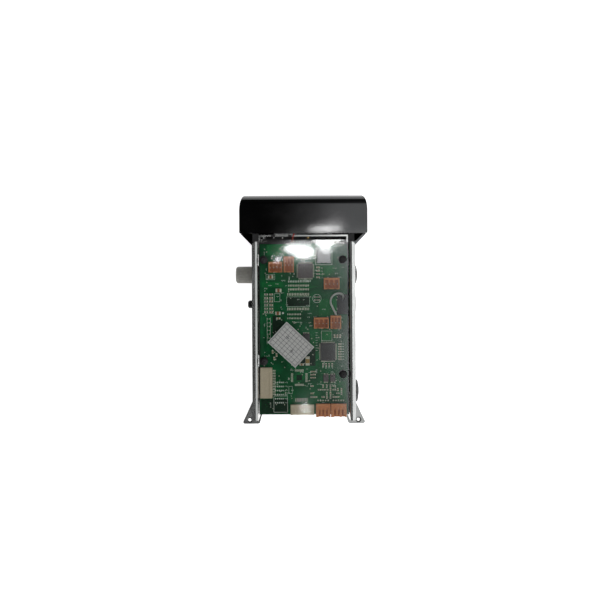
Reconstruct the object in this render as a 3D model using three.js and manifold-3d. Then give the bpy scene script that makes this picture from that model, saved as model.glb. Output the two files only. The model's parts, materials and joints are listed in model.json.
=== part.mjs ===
// Motor-driven card reader module of the kind built into banking terminals. Millimetres.
// +Z up, card enters along +Y from the nose at -Y, knob side is +X, belt side is -X.
// The origin is the middle of the base plate's underside.
import * as THREE from "three";
import { mergeVertices } from "three/addons/utils/BufferGeometryUtils.js";
import Module from "manifold-3d";

const wasm = await Module();
wasm.setup();

// ---------------------------------------------------------------- driving dimensions

const GAP = 0.3; // air kept between pieces that touch
const SHEET = 1.2; // steel sheet
const ROUND = 16; // sides of a shaft or a hole
const FINE = 28; // sides of a roller or a pulley

// chassis
const BASE = { thick: 1.5, half: 38.5, front: -56, rear: 78, earHalf: 51.4, earRear: 95.5 };
const FRAME = { inner: 35.8, lip: 40.4, bottom: 1.8, top: 66, front: -59.5, lipFront: -53.4, rear: 86.4 };
FRAME.outer = FRAME.inner + SHEET;

// card path
const CARD = { width: 54.3, path: 34, floor: 33.25, roof: 35.05 };
const GUIDE = { half: 29.5, front: -59.4, rear: 79, bottom: 30.6, top: 37.5 };

// transport: three driven shafts along X, with an idler above each
const SHAFT_R = 2.5;
const BORE_R = 2.75;
const ROLLER = { radius: 7, half: 7 };
const SHAFT_Z = CARD.path - 0.15 - ROLLER.radius;
const IDLER = { radius: 5, half: 6, bore: 1.9, pin: 1.5 };
IDLER.z = CARD.path + 0.15 + IDLER.radius;
const STATIONS = {
  front: { y: -28.4, flange: 7.7, cap: -43.7, armReach: 12 },
  middle: { y: -4.5, flange: 7.7, cap: -42.2, armReach: 12 },
  rear: { y: 66, flange: 9.2, cap: -44.4, armReach: -12 },
};
const BELT = { inner: -38.6, outer: -41.4, thick: 1.1, seat: 6.4 };
const MOTOR = { y: 38, z: 14.4, radius: 12, seat: 4.6, flange: 5.8 };

// nose
const NOSE = { half: 50, front: -90.4, cornerX: 5, cornerY: 13, top: 67, bottom: 3, topRear: -59.8 };
const WALL = 2.2;

// electronics
const BOARD = { half: 34.5, front: -52, rear: 82, bottom: 56, top: 57.6 };
const FILM = { half: 34.9, front: -54.8, rear: 82.6, bottom: 65, top: 65.4 };

// ---------------------------------------------------------------- solids from three.js geometry

/** A closed three.js geometry as a manifold-3d solid. */
function solid(geometry) {
  const bare = geometry.clone();
  bare.deleteAttribute("normal");
  bare.deleteAttribute("uv");
  const merged = mergeVertices(bare, 1e-4);
  return new wasm.Manifold(
    new wasm.Mesh({
      numProp: 3,
      vertProperties: new Float32Array(merged.attributes.position.array),
      triVerts: new Uint32Array(merged.index.array),
    }),
  );
}

/** Box between two values on each axis. */
function block([x0, x1], [y0, y1], [z0, z1]) {
  const box = new THREE.BoxGeometry(Math.abs(x1 - x0), Math.abs(y1 - y0), Math.abs(z1 - z0));
  return solid(box.translate((x0 + x1) / 2, (y0 + y1) / 2, (z0 + z1) / 2));
}

/** Cylinder along X between x0 and x1. */
function rodX(x0, x1, y, z, radius, sides = ROUND) {
  const rod = new THREE.CylinderGeometry(radius, radius, Math.abs(x1 - x0), sides);
  return solid(rod.rotateZ(Math.PI / 2).translate((x0 + x1) / 2, y, z));
}

/** Cylinder along Z between z0 and z1. */
function rodZ(x, y, z0, z1, radius, sides = ROUND) {
  const rod = new THREE.CylinderGeometry(radius, radius, Math.abs(z1 - z0), sides);
  return solid(rod.rotateX(Math.PI / 2).translate(x, y, (z0 + z1) / 2));
}

/** Piece turned about an axis along X; its profile lists [x, radius], from axis to axis, x rising. */
function turnedX(profile, y, z, sides = FINE) {
  const points = profile.map(([x, radius]) => new THREE.Vector2(radius, x));
  return solid(new THREE.LatheGeometry(points, sides).rotateZ(-Math.PI / 2).translate(0, y, z));
}

/** Piece turned about an axis along Z; its profile lists [z, radius], from axis to axis, z rising. */
function turnedZ(profile, x, y, sides = ROUND) {
  const points = profile.map(([z, radius]) => new THREE.Vector2(radius, z));
  return solid(new THREE.LatheGeometry(points, sides).rotateX(Math.PI / 2).translate(x, y, 0));
}

/** Outline of [a, b] points as a THREE.Shape. */
function outline(points) {
  return new THREE.Shape(points.map(([a, b]) => new THREE.Vector2(a, b)));
}

function extruded(shape, depth, curveSegments = 8) {
  return new THREE.ExtrudeGeometry(shape, { depth, bevelEnabled: false, curveSegments });
}

/** Plate with an [x, y] outline, from z0 up to z1. */
function prismZ(shape, z0, z1, curveSegments) {
  return solid(extruded(shape, z1 - z0, curveSegments).translate(0, 0, z0));
}

/** Bar with a [y, z] outline, from x0 to x1. */
function prismX(shape, x0, x1, curveSegments) {
  const bar = extruded(shape, x1 - x0, curveSegments).rotateY(Math.PI / 2).rotateX(Math.PI / 2);
  return solid(bar.translate(x0, 0, 0));
}

/** Bar with an [x, z] outline, from y0 to y1. */
function prismY(shape, y0, y1, curveSegments) {
  return solid(extruded(shape, y1 - y0, curveSegments).rotateX(Math.PI / 2).translate(0, y1, 0));
}

/** Mirror image across the plane x = 0. */
const mirrored = (piece) => piece.mirror([1, 0, 0]);

/** First solid with the others joined on. */
const joined = (first, ...others) => others.reduce((whole, piece) => whole.add(piece), first);

/** First solid with the others cut away. */
const cut = (first, ...others) => others.reduce((whole, piece) => whole.subtract(piece), first);

/** Points of an arc about (a, b), from one angle to another in degrees. */
function arc(a, b, radiusA, radiusB, from, to, steps) {
  return Array.from({ length: steps + 1 }, (_, i) => {
    const angle = THREE.MathUtils.degToRad(from + ((to - from) * i) / steps);
    return [a + radiusA * Math.cos(angle), b + radiusB * Math.sin(angle)];
  });
}

/** Slot outline: two half circles of one radius about two points. */
function slotShape([a0, b0], [a1, b1], radius, steps = 5) {
  const lean = THREE.MathUtils.radToDeg(Math.atan2(b1 - b0, a1 - a0));
  return outline([
    ...arc(a0, b0, radius, radius, lean + 90, lean + 270, steps),
    ...arc(a1, b1, radius, radius, lean - 90, lean + 90, steps),
  ]);
}

// ---------------------------------------------------------------- finishes

function finish(color, roughness, metalness = 0, extra = {}) {
  return new THREE.MeshStandardMaterial({ color, roughness, metalness, ...extra });
}
const ZINC_STEEL = finish(0xb9bab4, 0.42, 0.9);
const BRIGHT_STEEL = finish(0xc8c9c8, 0.25, 1);
const BLACK_GLOSS = finish(0x0b0b0c, 0.18);
const BLACK_PLASTIC = finish(0x161616, 0.5);
const GREY_KNOB = finish(0x6a6964, 0.6);
const RUBBER = finish(0x1d1d1e, 0.85);
const WHITE_NYLON = finish(0xd9d7cd, 0.5);
const CREAM_NYLON = finish(0xb0a488, 0.5);
const ORANGE_NYLON = finish(0xb0683c, 0.5);
const BOARD_GREEN = finish(0x14562f, 0.4);
const CLEAR = finish(0xe8f0ee, 0.08, 0, { transparent: true, opacity: 0.25 });
const LABEL_PAPER = finish(0xc4c4c2, 0.7);
const GOLD = finish(0xc9a24a, 0.3, 1);
const LAMP = finish(0x9fd8b4, 0.3, 0, { transparent: true, opacity: 0.7 });
const GREY_CABLE = finish(0xa9b0aa, 0.5);

const reader = new THREE.Group();

/** Adds a manifold-3d solid to the reader as a named mesh. */
function add(name, piece, material) {
  const made = piece.getMesh();
  const geometry = new THREE.BufferGeometry()
    .setAttribute("position", new THREE.BufferAttribute(new Float32Array(made.vertProperties), 3))
    .setIndex(new THREE.BufferAttribute(new Uint32Array(made.triVerts), 1));
  geometry.computeVertexNormals();
  const mesh = new THREE.Mesh(geometry, material);
  mesh.name = name;
  reader.add(mesh);
}

// ---------------------------------------------------------------- chassis

/** Where the board's rivets stand: the knob side pair first. */
const RIVETS = [
  { name: "front_knob_side", x: 31.4, y: -39.4 },
  { name: "rear_knob_side", x: 31.4, y: 40.1 },
  { name: "front_belt_side", x: -30.6, y: -39.4 },
  { name: "rear_belt_side", x: -30.6, y: 50.4 },
];
const TAB = { bottom: 54.4, top: 55.6, halfY: 4.5, reach: 4.5, hole: 1.9 };

/** Base plate with two rear ears that splay out past the side frames. */
function basePlate() {
  const flareFront = 67;
  const half = [
    [BASE.half, BASE.front],
    [BASE.half, flareFront],
    [BASE.earHalf - 0.6, BASE.earRear - 2],
    ...arc(BASE.earHalf - 2, BASE.earRear - 1.6, 1.6, 1.6, 0, 90, 3),
    ...arc(38.6, BASE.earRear - 2, 2, 2, 90, 160, 3),
    [32.4, BASE.rear],
  ];
  const other = half.map(([x, y]) => [-x, y]).reverse();
  const { thick } = BASE;
  const countersunk = [[-1, 0], [-1, 1.3], [thick - 0.9, 1.3], [thick + 0.1, 2.5], [3, 2.5], [3, 0]];
  const holes = [-1, 1].flatMap((side) => [
    turnedZ(countersunk, side * 45.4, 92.3),
    rodZ(side * 31, -48, -1, 3, 2.1),
    prismZ(slotShape([side * 14, -30], [side * 14, -14], 3), -1, 3),
    prismZ(slotShape([side * 14, 52], [side * 14, 66], 3), -1, 3),
  ]);
  return cut(prismZ(outline([...half, ...other]), 0, BASE.thick), ...holes);
}

/** Side frame: a plate with a lip turned out at the top and a foot turned in, as on the knob side. */
function sideFrame(rivets) {
  const bend = 2;
  const section = outline([
    [FRAME.inner - 7, FRAME.bottom],
    [FRAME.outer, FRAME.bottom],
    [FRAME.outer, FRAME.top - bend],
    ...arc(FRAME.outer + 0.8, FRAME.top - bend, 0.8, 0.8, 180, 90, 2),
    [FRAME.lip, FRAME.top - SHEET],
    [FRAME.lip, FRAME.top],
    ...arc(FRAME.inner + bend, FRAME.top - bend, bend, bend, 90, 180, 5),
    [FRAME.inner, FRAME.bottom + SHEET],
    [FRAME.inner - 7, FRAME.bottom + SHEET],
  ]);
  const tabs = rivets.map(({ x, y }) => {
    const along = [y - TAB.halfY, y + TAB.halfY];
    return block([x - TAB.reach, FRAME.inner + 0.6], along, [TAB.bottom, TAB.top]);
  });
  const holes = rivets.map((rivet) => rodZ(rivet.x, rivet.y, TAB.bottom - 1, TAB.top + 1, TAB.hole, 16));
  const corner = 3.2;
  const lipHeight = [60, FRAME.top + 1];
  const { lip, lipFront } = FRAME;
  const lipEnds = [
    block([FRAME.outer + 0.02, lip + 1], [FRAME.front - 1, lipFront], lipHeight),
    block([FRAME.inner - 1, lip + 1], [FRAME.front - 1, lipFront], [62.2, FRAME.top + 1]),
    cut(
      block([lip - corner, lip + 1], [lipFront - 1, lipFront + corner], lipHeight),
      rodZ(lip - corner, lipFront + corner, 59, FRAME.top + 2, corner, 20),
    ),
    cut(
      block([lip - 2, lip + 1], [FRAME.rear - 2, FRAME.rear + 1], lipHeight),
      rodZ(lip - 2, FRAME.rear - 2, 59, FRAME.top + 2, 2, 16),
    ),
  ];
  const through = [FRAME.inner - 1, FRAME.outer + 1];
  const bushHoles = Object.values(STATIONS).map(({ y }) => rodX(...through, y, SHAFT_Z, 4.3));
  const windows = [
    prismX(slotShape([16, 44], [30, 44], 3.6), ...through),
    prismX(slotShape([52, 46], [64, 46], 3), ...through),
    prismX(slotShape([-46, 12], [-34, 12], 3), ...through),
    prismX(slotShape([2, 52], [10, 52], 2.4), ...through),
    rodX(...through, -52, 44, 1.8, 16),
    rodX(...through, 80, 10, 1.8, 16),
    rodX(...through, 80, 56, 1.8, 16),
  ];
  const footRelief = block([FRAME.inner - 8, FRAME.inner - 0.02], [24, 54], [0, FRAME.bottom + SHEET + 1]);
  const body = joined(prismY(section, FRAME.front, FRAME.rear), ...tabs);
  return cut(body, ...holes, ...lipEnds, ...bushHoles, ...windows, footRelief);
}

/** The knob side frame has a window for the plug of the board's sensor header. */
function knobSideFrame() {
  const plugWindow = block([FRAME.inner - 1, FRAME.outer + 1], [44.6, 69.4], [57.6, 63.6]);
  return cut(sideFrame(RIVETS.filter(({ x }) => x > 0)), plugWindow);
}

const TENSIONER = { pivot: [12, 6.2], radius: 4.2 };

/** The belt side frame is the other hand, with a hole for the motor's boss and one for the tensioner. */
function beltSideFrame() {
  const own = RIVETS.filter((rivet) => rivet.x < 0).map((rivet) => ({ ...rivet, x: -rivet.x }));
  const through = [-FRAME.outer - 1, -FRAME.inner + 1];
  return cut(
    mirrored(sideFrame(own)),
    rodX(...through, MOTOR.y, MOTOR.z, 5.3),
    rodX(...through, ...TENSIONER.pivot, 1.6, 16),
  );
}

/** Cross stay behind the nose: an upright web with both ends turned back along the frames. */
function frontStay() {
  const web = { front: -58.8, rear: -57.6, bottom: 41.5, top: 62 };
  const half = FRAME.inner - GAP - 0.6;
  const plan = outline([
    [-half, web.front],
    [half, web.front],
    [half, -53],
    [half - SHEET, -53],
    [half - SHEET, web.rear],
    [-half + SHEET, web.rear],
    [-half + SHEET, -53],
    [-half, -53],
  ]);
  const notch = (x0, x1) => block([x0, x1], [-60, -56], [57, 63]);
  return cut(
    prismZ(plan, web.bottom, web.top),
    notch(21.9, 25.1),
    notch(7.8, 12.1),
    prismY(slotShape([-22, 50], [-10, 50], 2.6), -60, -56),
  );
}

/** Cross stay at the tail, with both ends turned forward along the frames. */
function rearStay() {
  const half = FRAME.inner - GAP - 0.6;
  const rear = 80.7;
  const plan = outline([
    [-half, 72],
    [-half + SHEET, 72],
    [-half + SHEET, rear - SHEET],
    [half - SHEET, rear - SHEET],
    [half - SHEET, 72],
    [half, 72],
    [half, rear],
    [-half, rear],
  ]);
  return cut(
    prismZ(plan, 39.5, 53.5),
    prismY(slotShape([-18, 46.5], [-8, 46.5], 3), rear - 3, rear + 1),
    prismY(slotShape([8, 46.5], [18, 46.5], 3), rear - 3, rear + 1),
  );
}

add("base_plate", basePlate(), ZINC_STEEL);
add("knob_side_frame", knobSideFrame(), ZINC_STEEL);
add("belt_side_frame", beltSideFrame(), ZINC_STEEL);
add("front_stay", frontStay(), ZINC_STEEL);
add("rear_stay", rearStay(), ZINC_STEEL);

// ---------------------------------------------------------------- nose

const SLOT = { half: 27.4, height: 1.9, mouthHalf: 29, mouthHeight: 7.6, mouthDepth: 7 };
const LINER = { half: 32, below: 6.2, above: 6.2, front: -89.6, rear: -62.6 };
const SCOOP = { radius: 14.6, y: -98.5 };
const LIGHT = { half: 17, low: 45.2, high: 47.6 };

/** Solid of the nose's outer form, or of its hollow when inset by the wall. */
function noseForm(inset) {
  const half = NOSE.half - inset;
  const front = NOSE.front + inset;
  const rearHalf = FRAME.lip + 0.4 - inset;
  const rear = inset ? -45 : -51;
  const side = [
    ...arc(half - NOSE.cornerX, front + NOSE.cornerY, NOSE.cornerX, NOSE.cornerY, 270, 360, 7),
    [half, -60.6],
    [rearHalf, inset ? -60.6 + (half - rearHalf) : rear],
    ...(inset ? [[rearHalf, rear]] : []),
  ];
  const plan = outline([...side, ...side.map(([x, y]) => [-x, y]).reverse()]);
  const top = NOSE.top - inset;
  const bottom = NOSE.bottom + inset;
  const curve = { y: 7.6, z: 13 };
  const profile = outline([
    ...arc(front + curve.y, bottom + curve.z, curve.y, curve.z, 270, 180, 9),
    ...arc(front + curve.y, top - curve.z, curve.y, curve.z, 180, 90, 9),
    [rear, top],
    [rear, bottom],
  ]);
  const across = prismX(profile, -NOSE.half - 1, NOSE.half + 1);
  return prismZ(plan, NOSE.bottom - 1, NOSE.top + 1).intersect(across);
}

/** Black moulded nose: an open-backed shell with the slot's window and ribs for the frames. */
function frontBezel() {
  const window = (half, rear, low, high) =>
    block([-half - GAP, half + GAP], [-95, rear], [low - GAP, high + GAP]);
  const shell = cut(
    noseForm(0),
    block([-FRAME.outer - GAP, FRAME.outer + GAP], [FRAME.front - GAP, -40], [0, 12]),
    noseForm(WALL),
    block([-60, 60], [NOSE.topRear, -40], [58, 70]),
    window(LINER.half, -80, CARD.path - LINER.below, CARD.path + LINER.above),
    window(LIGHT.half, -84, LIGHT.low, LIGHT.high),
  );
  const inside = noseForm(WALL - 0.4);
  const rib = (x0, x1) => block([x0, x1], [-72, -53.3], [0, 63]).intersect(inside);
  return joined(shell, rib(37.6, 39.7), rib(-39.7, -37.6));
}

/** Throat that leads the card in: a flared mouth, a long flat slot and a grip notch on the centre line. */
function slotLiner() {
  const flare = outline([
    [LINER.front - 1, CARD.path - SLOT.mouthHeight / 2 - 0.4],
    [LINER.front + SLOT.mouthDepth, CARD.path - SLOT.height / 2],
    [LINER.front + SLOT.mouthDepth, CARD.path + SLOT.height / 2],
    [LINER.front - 1, CARD.path + SLOT.mouthHeight / 2 + 0.4],
  ]);
  const path = [CARD.path - SLOT.height / 2, CARD.path + SLOT.height / 2];
  const height = [CARD.path - LINER.below, CARD.path + LINER.above];
  return cut(
    block([-LINER.half, LINER.half], [LINER.front, LINER.rear], height),
    block([-SLOT.half, SLOT.half], [LINER.front - 1, LINER.rear + 1], path),
    prismX(flare, -SLOT.mouthHalf, SLOT.mouthHalf),
    rodZ(0, SCOOP.y, 20, 50, SCOOP.radius, 32),
  );
}

/** Light bar set in the nose above the slot. */
function slotLight() {
  return joined(
    block([-LIGHT.half, LIGHT.half], [-90.3, -86], [LIGHT.low, LIGHT.high]),
    block([-LIGHT.half - 2, LIGHT.half + 2], [-87, -85.2], [LIGHT.low - 1.2, LIGHT.high + 1.2]),
  );
}

add("front_bezel", frontBezel(), BLACK_GLOSS);
add("slot_liner", slotLiner(), BLACK_PLASTIC);
add("slot_light", slotLight(), LAMP);

// ---------------------------------------------------------------- card guides

const HEAD = { x: 17, y: -46, halfX: 6, halfY: 6, top: 33.95, bottom: 24.5, rollerZ: 39, roller: 4.8 };
const CONTACT = { halfX: 9, x: 4, front: 24, rear: 40, bottom: 38.4, top: 48, shift: [4, -3], tip: 36.8 };
CONTACT.pins = [[27, 44.5], [37, 44.5]];

/** Lower guide: a moulded tray with side rails, windows for the rollers and head, and lugs to the frames. */
function lowerGuide() {
  const rail = CARD.width / 2;
  const lugs = [-1, 1].flatMap((side) =>
    [[-46, -38], [6, 14], [44, 52]].map(([y0, y1]) =>
      block([side * (GUIDE.half - 1), side * (FRAME.inner - GAP)], [y0, y1], [GUIDE.bottom, 33]),
    ),
  );
  const through = [20, 40];
  const rollerHalf = ROLLER.half + 1.2;
  const rollerWindows = Object.values(STATIONS).map(({ y }) =>
    block([-rollerHalf, rollerHalf], [y - 7, y + 7], through),
  );
  const headHalf = HEAD.halfX + 1;
  const ribs = [-22, 22].map((x) =>
    block([x - 0.9, x + 0.9], [-18, 54], [GUIDE.bottom - 1, GUIDE.bottom + 1]),
  );
  const slab = block([-GUIDE.half, GUIDE.half], [GUIDE.front, GUIDE.rear], [GUIDE.bottom, 34.75]);
  const tray = cut(
    joined(slab, ...lugs, ...ribs),
    block([-rail, rail], [GUIDE.front - 1, GUIDE.rear + 1], [CARD.floor, 40]),
    ...rollerWindows,
    block([HEAD.x - headHalf, HEAD.x + headHalf], [HEAD.y - headHalf, HEAD.y + headHalf], through),
    block([CONTACT.x - 4, CONTACT.x + 4], [CONTACT.rear - 2.6, CONTACT.rear + 5], through),
    rodZ(-16, 40, 20, 40, 2),
    rodZ(-16, -46, 20, 40, 2),
  );
  return tray;
}

/** Upper guide: the path's roof, with windows for the idlers and contacts and posts for their pins. */
function upperGuide() {
  const roof = block([-GUIDE.half, GUIDE.half], [GUIDE.front, GUIDE.rear], [CARD.roof, GUIDE.top]);
  const idlerWindow = ({ y, armReach }) => {
    const way = Math.sign(armReach);
    return block([-9.4, 9.4], [y - way * 6.2, y + armReach + way * 3.4].sort((a, b) => a - b), [30, 45]);
  };
  const posts = Object.values(STATIONS).flatMap(({ y, armReach }) =>
    [-1, 1].map((side) => {
      const pivotY = y + armReach;
      const cheek = prismX(
        slotShape([pivotY, GUIDE.top - 0.5], [pivotY, IDLER.z], 3),
        ...(side > 0 ? [9.8, 11.8] : [-11.8, -9.8]),
      );
      return cut(cheek, rodX(side * 9, side * 12.5, pivotY, IDLER.z, IDLER.bore));
    }),
  );
  const [slideY, slideZ] = CONTACT.shift;
  const cheekInner = CONTACT.halfX + GAP + 0.2;
  const cheeks = [-1, 1].map((side) => {
    const span = [CONTACT.x + side * cheekInner, CONTACT.x + side * (cheekInner + 2)].sort((a, b) => a - b);
    const wall = block(span, [CONTACT.front - 3, CONTACT.rear + 6], [GUIDE.top - 0.5, CONTACT.top - 0.5]);
    const slots = CONTACT.pins.map(([y, z]) =>
      prismX(slotShape([y, z], [y + slideY, z + slideZ], 1.8), span[0] - 1, span[1] + 1),
    );
    return cut(wall, ...slots);
  });
  const headPosts = [-1, 1].map((side) => {
    const span = [HEAD.x + side * 7, HEAD.x + side * 8.8].sort((a, b) => a - b);
    const post = prismX(slotShape([HEAD.y, GUIDE.top - 0.5], [HEAD.y, HEAD.rollerZ], 2.8), ...span);
    return cut(post, rodX(span[0] - 1, span[1] + 1, HEAD.y, HEAD.rollerZ, 1.5));
  });
  const carriageHalf = CONTACT.halfX + GAP;
  const carriageX = [CONTACT.x - carriageHalf, CONTACT.x + carriageHalf];
  const through = [30, 45];
  const body = cut(
    roof,
    ...Object.values(STATIONS).map(idlerWindow),
    block([HEAD.x - 6.6, HEAD.x + 6.6], [HEAD.y - 5.4, HEAD.y + 5.4], through),
    block(carriageX, [CONTACT.front - 1, CONTACT.rear + 5.5], through),
  );
  return joined(body, ...posts, ...cheeks, ...headPosts);
}

add("lower_card_guide", lowerGuide(), BLACK_PLASTIC);
add("upper_card_guide", upperGuide(), BLACK_PLASTIC);

// ---------------------------------------------------------------- shutter

const SHUTTER = { x: 15, y: -68, halfX: 23, blade: [-61.6, -60.8], travel: 4.5, collar: 43 };
const SOLENOID = { bottom: 50.4, top: 61.6, halfX: 8, halfY: 6 };

/** Steel blade across the slot, with a foot turned forward under the plunger. */
function shutterBlade() {
  const [front, rear] = SHUTTER.blade;
  const foot = { low: 41.1, high: 42.1 };
  return joined(
    block([-SHUTTER.halfX, SHUTTER.halfX], [front, rear], [32.2, 40.6]),
    block([SHUTTER.x - 5, SHUTTER.x + 5], [front, rear], [40, foot.high]),
    block([SHUTTER.x - 5, SHUTTER.x + 5], [SHUTTER.y - 4, rear], [foot.low, foot.high]),
  );
}

/** Plunger: a collar that carries the return spring, and a rod that runs up into the coil. */
function shutterPlunger() {
  const { collar } = SHUTTER;
  return turnedZ(
    [[collar - 0.6, 0], [collar - 0.6, 4.4], [collar + 0.6, 4.4], [collar + 0.6, 2.4], [56, 2.4], [56, 0]],
    SHUTTER.x,
    SHUTTER.y,
  );
}

/** Coil and yoke of the shutter's solenoid, open along its axis. */
function shutterSolenoid() {
  const { x, y } = SHUTTER;
  const { bottom, top, halfX, halfY } = SOLENOID;
  const inside = halfX - SHEET;
  const yoke = cut(
    block([x - halfX, x + halfX], [y - halfY, y + halfY], [bottom, top]),
    block([x - inside, x + inside], [y - halfY - 1, y + halfY + 1], [bottom + SHEET, top - SHEET]),
  );
  const coil = rodZ(x, y, bottom + 0.6, top - 0.6, halfY - 0.2, 28);
  const ears = block([x - halfX, x + halfX], [y + halfY - SHEET, -59.1], [top - SHEET, top]);
  return cut(joined(yoke, coil, ears), rodZ(x, y, bottom - 1, top + 1, 2.8));
}

/** Helix of round wire about a vertical axis. */
class Helix extends THREE.Curve {
  constructor(x, y, z0, z1, radius, turns) {
    super();
    Object.assign(this, { x, y, z0, z1, radius, turns });
  }
  getPoint(t, target = new THREE.Vector3()) {
    const angle = t * this.turns * 2 * Math.PI;
    return target.set(
      this.x + this.radius * Math.cos(angle),
      this.y + this.radius * Math.sin(angle),
      this.z0 + (this.z1 - this.z0) * t,
    );
  }
}

/** Round section of a wire or cable. */
function wireSection(radius, sides = 6) {
  return outline(arc(0, 0, radius, radius, 0, 360 - 360 / sides, sides - 1));
}

/** Return spring between the plunger's collar and the solenoid. */
function shutterSpring() {
  const turns = 4;
  const wire = 0.3;
  const { x, y, collar } = SHUTTER;
  const extrudePath = new Helix(x, y, collar + 1.1, SOLENOID.bottom - 0.5, 3.5, turns);
  const options = { steps: turns * 11, extrudePath, bevelEnabled: false };
  return solid(new THREE.ExtrudeGeometry(wireSection(wire, 5), options));
}

add("shutter_blade", shutterBlade(), BRIGHT_STEEL);
add("shutter_plunger", shutterPlunger(), BRIGHT_STEEL);
add("shutter_solenoid", shutterSolenoid(), ZINC_STEEL);
add("shutter_spring", shutterSpring(), BRIGHT_STEEL);

// ---------------------------------------------------------------- transport

const KNOB = { inner: 38.9, outer: 54.9, radius: 6.9 };
const STUB = { inner: 38.4, outer: 45.2, radius: 3.2 };

/** Driven shaft, from inside its pulley to past the knob side frame. */
function driveShaft(name) {
  const { y, cap } = STATIONS[name];
  const beltEnd = cap + 1.6;
  if (name === "front") return rodX(beltEnd, KNOB.outer - 3.4, y, SHAFT_Z, SHAFT_R);
  if (name === "rear") return rodX(beltEnd, FRAME.outer + 1.6, y, SHAFT_Z, SHAFT_R);
  return turnedX(
    [
      [beltEnd, 0],
      [beltEnd, SHAFT_R],
      [STUB.inner, SHAFT_R],
      [STUB.inner, STUB.radius],
      [STUB.outer - 1.2, STUB.radius],
      [STUB.outer - 0.4, STUB.radius - 0.5],
      [STUB.outer, STUB.radius - 1.4],
      [STUB.outer, 0],
    ],
    y,
    SHAFT_Z,
    ROUND,
  );
}

/** Rubber roller pressed on a driven shaft. */
function driveRoller({ y }) {
  const tyre = rodX(-ROLLER.half, ROLLER.half, y, SHAFT_Z, ROLLER.radius, FINE);
  return cut(tyre, rodX(-9, 9, y, SHAFT_Z, BORE_R));
}

/** Toothed pulley with two flanges and a domed outer face. */
function drivePulley({ y, flange, cap }) {
  const inner = -37.6;
  const { seat } = BELT;
  const body = turnedX(
    [
      [cap, 0],
      [cap, flange * 0.45],
      [cap + 0.35, flange * 0.78],
      [BELT.outer - 0.7, flange],
      [BELT.outer - 0.2, flange],
      [BELT.outer - 0.2, seat],
      [BELT.inner + 0.2, seat],
      [BELT.inner + 0.2, flange],
      [inner, flange],
      [inner, 0],
    ],
    y,
    SHAFT_Z,
  );
  return cut(body, rodX(cap + 1.4, inner + 1, y, SHAFT_Z, BORE_R));
}

/** Flanged plain bush in the knob side frame. */
function shaftBush({ y }) {
  return cut(
    turnedX([[34.2, 0], [34.2, 5.8], [35.5, 5.8], [35.5, 4], [37.3, 4], [37.3, 0]], y, SHAFT_Z, ROUND),
    rodX(33, 39, y, SHAFT_Z, BORE_R),
  );
}

/** Knob for turning the transport by hand. */
function feedKnob() {
  const { inner, outer, radius } = KNOB;
  const grip = turnedX(
    [
      [inner, 0],
      [inner, radius - 1.8],
      ...arc(inner + 1.8, radius - 1.8, 1.8, 1.8, 180, 90, 4).slice(1),
      ...arc(outer - 2.4, radius - 2.4, 2.4, 2.4, 90, 0, 5),
      [outer, 0],
    ],
    STATIONS.front.y,
    SHAFT_Z,
  );
  return cut(grip, rodX(inner - 1, outer - 3, STATIONS.front.y, SHAFT_Z, BORE_R));
}

for (const [name, station] of Object.entries(STATIONS)) {
  add(`${name}_drive_shaft`, driveShaft(name), BRIGHT_STEEL);
  add(`${name}_drive_roller`, driveRoller(station), RUBBER);
  add(`${name}_drive_pulley`, drivePulley(station), BLACK_PLASTIC);
  add(`${name}_bush_knob_side`, shaftBush(station), WHITE_NYLON);
  add(`${name}_bush_belt_side`, mirrored(shaftBush(station)), WHITE_NYLON);
}
add("feed_knob", feedKnob(), GREY_KNOB);

/** Arm that holds an idler: two cheeks joined by a bridge, a pin for the roller and a pivot pin. */
function idlerArm({ y, armReach }) {
  const pivot = y + armReach;
  const way = Math.sign(armReach);
  const { z, pin, half } = IDLER;
  const ends = [[y, z], [pivot, z]].sort((a, b) => a[0] - b[0]);
  const cheeks = [-1, 1].map((side) => {
    const span = [side * (half + 0.6), side * (half + 1.8)].sort((a, b) => a - b);
    return prismX(slotShape(...ends, 2.6), ...span);
  });
  const bridgeY = [y + way * 7, pivot - way * 2].sort((a, b) => a - b);
  const bridge = block([-half - 1.8, half + 1.8], bridgeY, [z + 1.2, z + 2.4]);
  return joined(
    ...cheeks,
    bridge,
    rodX(-half - 1.4, half + 1.4, y, z, pin, 16),
    rodX(-12.4, 12.4, pivot, z, pin, 16),
  );
}

/** Idler that presses the card on its driven roller. */
function idlerRoller({ y }) {
  const { radius, half, bore, z } = IDLER;
  return cut(rodX(-half, half, y, z, radius, FINE), rodX(-half - 1, half + 1, y, z, bore, 16));
}

for (const [name, station] of Object.entries(STATIONS)) {
  add(`${name}_idler_arm`, idlerArm(station), ZINC_STEEL);
  add(`${name}_idler_roller`, idlerRoller(station), WHITE_NYLON);
}

// ---------------------------------------------------------------- motor, belt and encoder

/** Outline of a taut belt round circles listed anticlockwise as [y, z, radius], moved out by an offset. */
function beltOutline(circles, offset) {
  const grown = circles.map(([y, z, radius]) => ({ y, z, radius: radius + offset }));
  const normal = (a, b) => {
    const lean = Math.atan2(b.z - a.z, b.y - a.y);
    return lean - Math.acos((a.radius - b.radius) / Math.hypot(b.y - a.y, b.z - a.z));
  };
  return grown.flatMap((circle, i) => {
    const count = grown.length;
    const start = THREE.MathUtils.radToDeg(normal(grown[(i + count - 1) % count], circle));
    let end = THREE.MathUtils.radToDeg(normal(circle, grown[(i + 1) % count]));
    while (end < start) end += 360;
    const steps = Math.max(2, Math.round((end - start) / 12));
    return arc(circle.y, circle.z, circle.radius, circle.radius, start, end, steps);
  });
}

const BELT_ROUTE = [
  [MOTOR.y, MOTOR.z, MOTOR.seat],
  [STATIONS.rear.y, SHAFT_Z, BELT.seat],
  [STATIONS.front.y, SHAFT_Z, BELT.seat],
];

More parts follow.
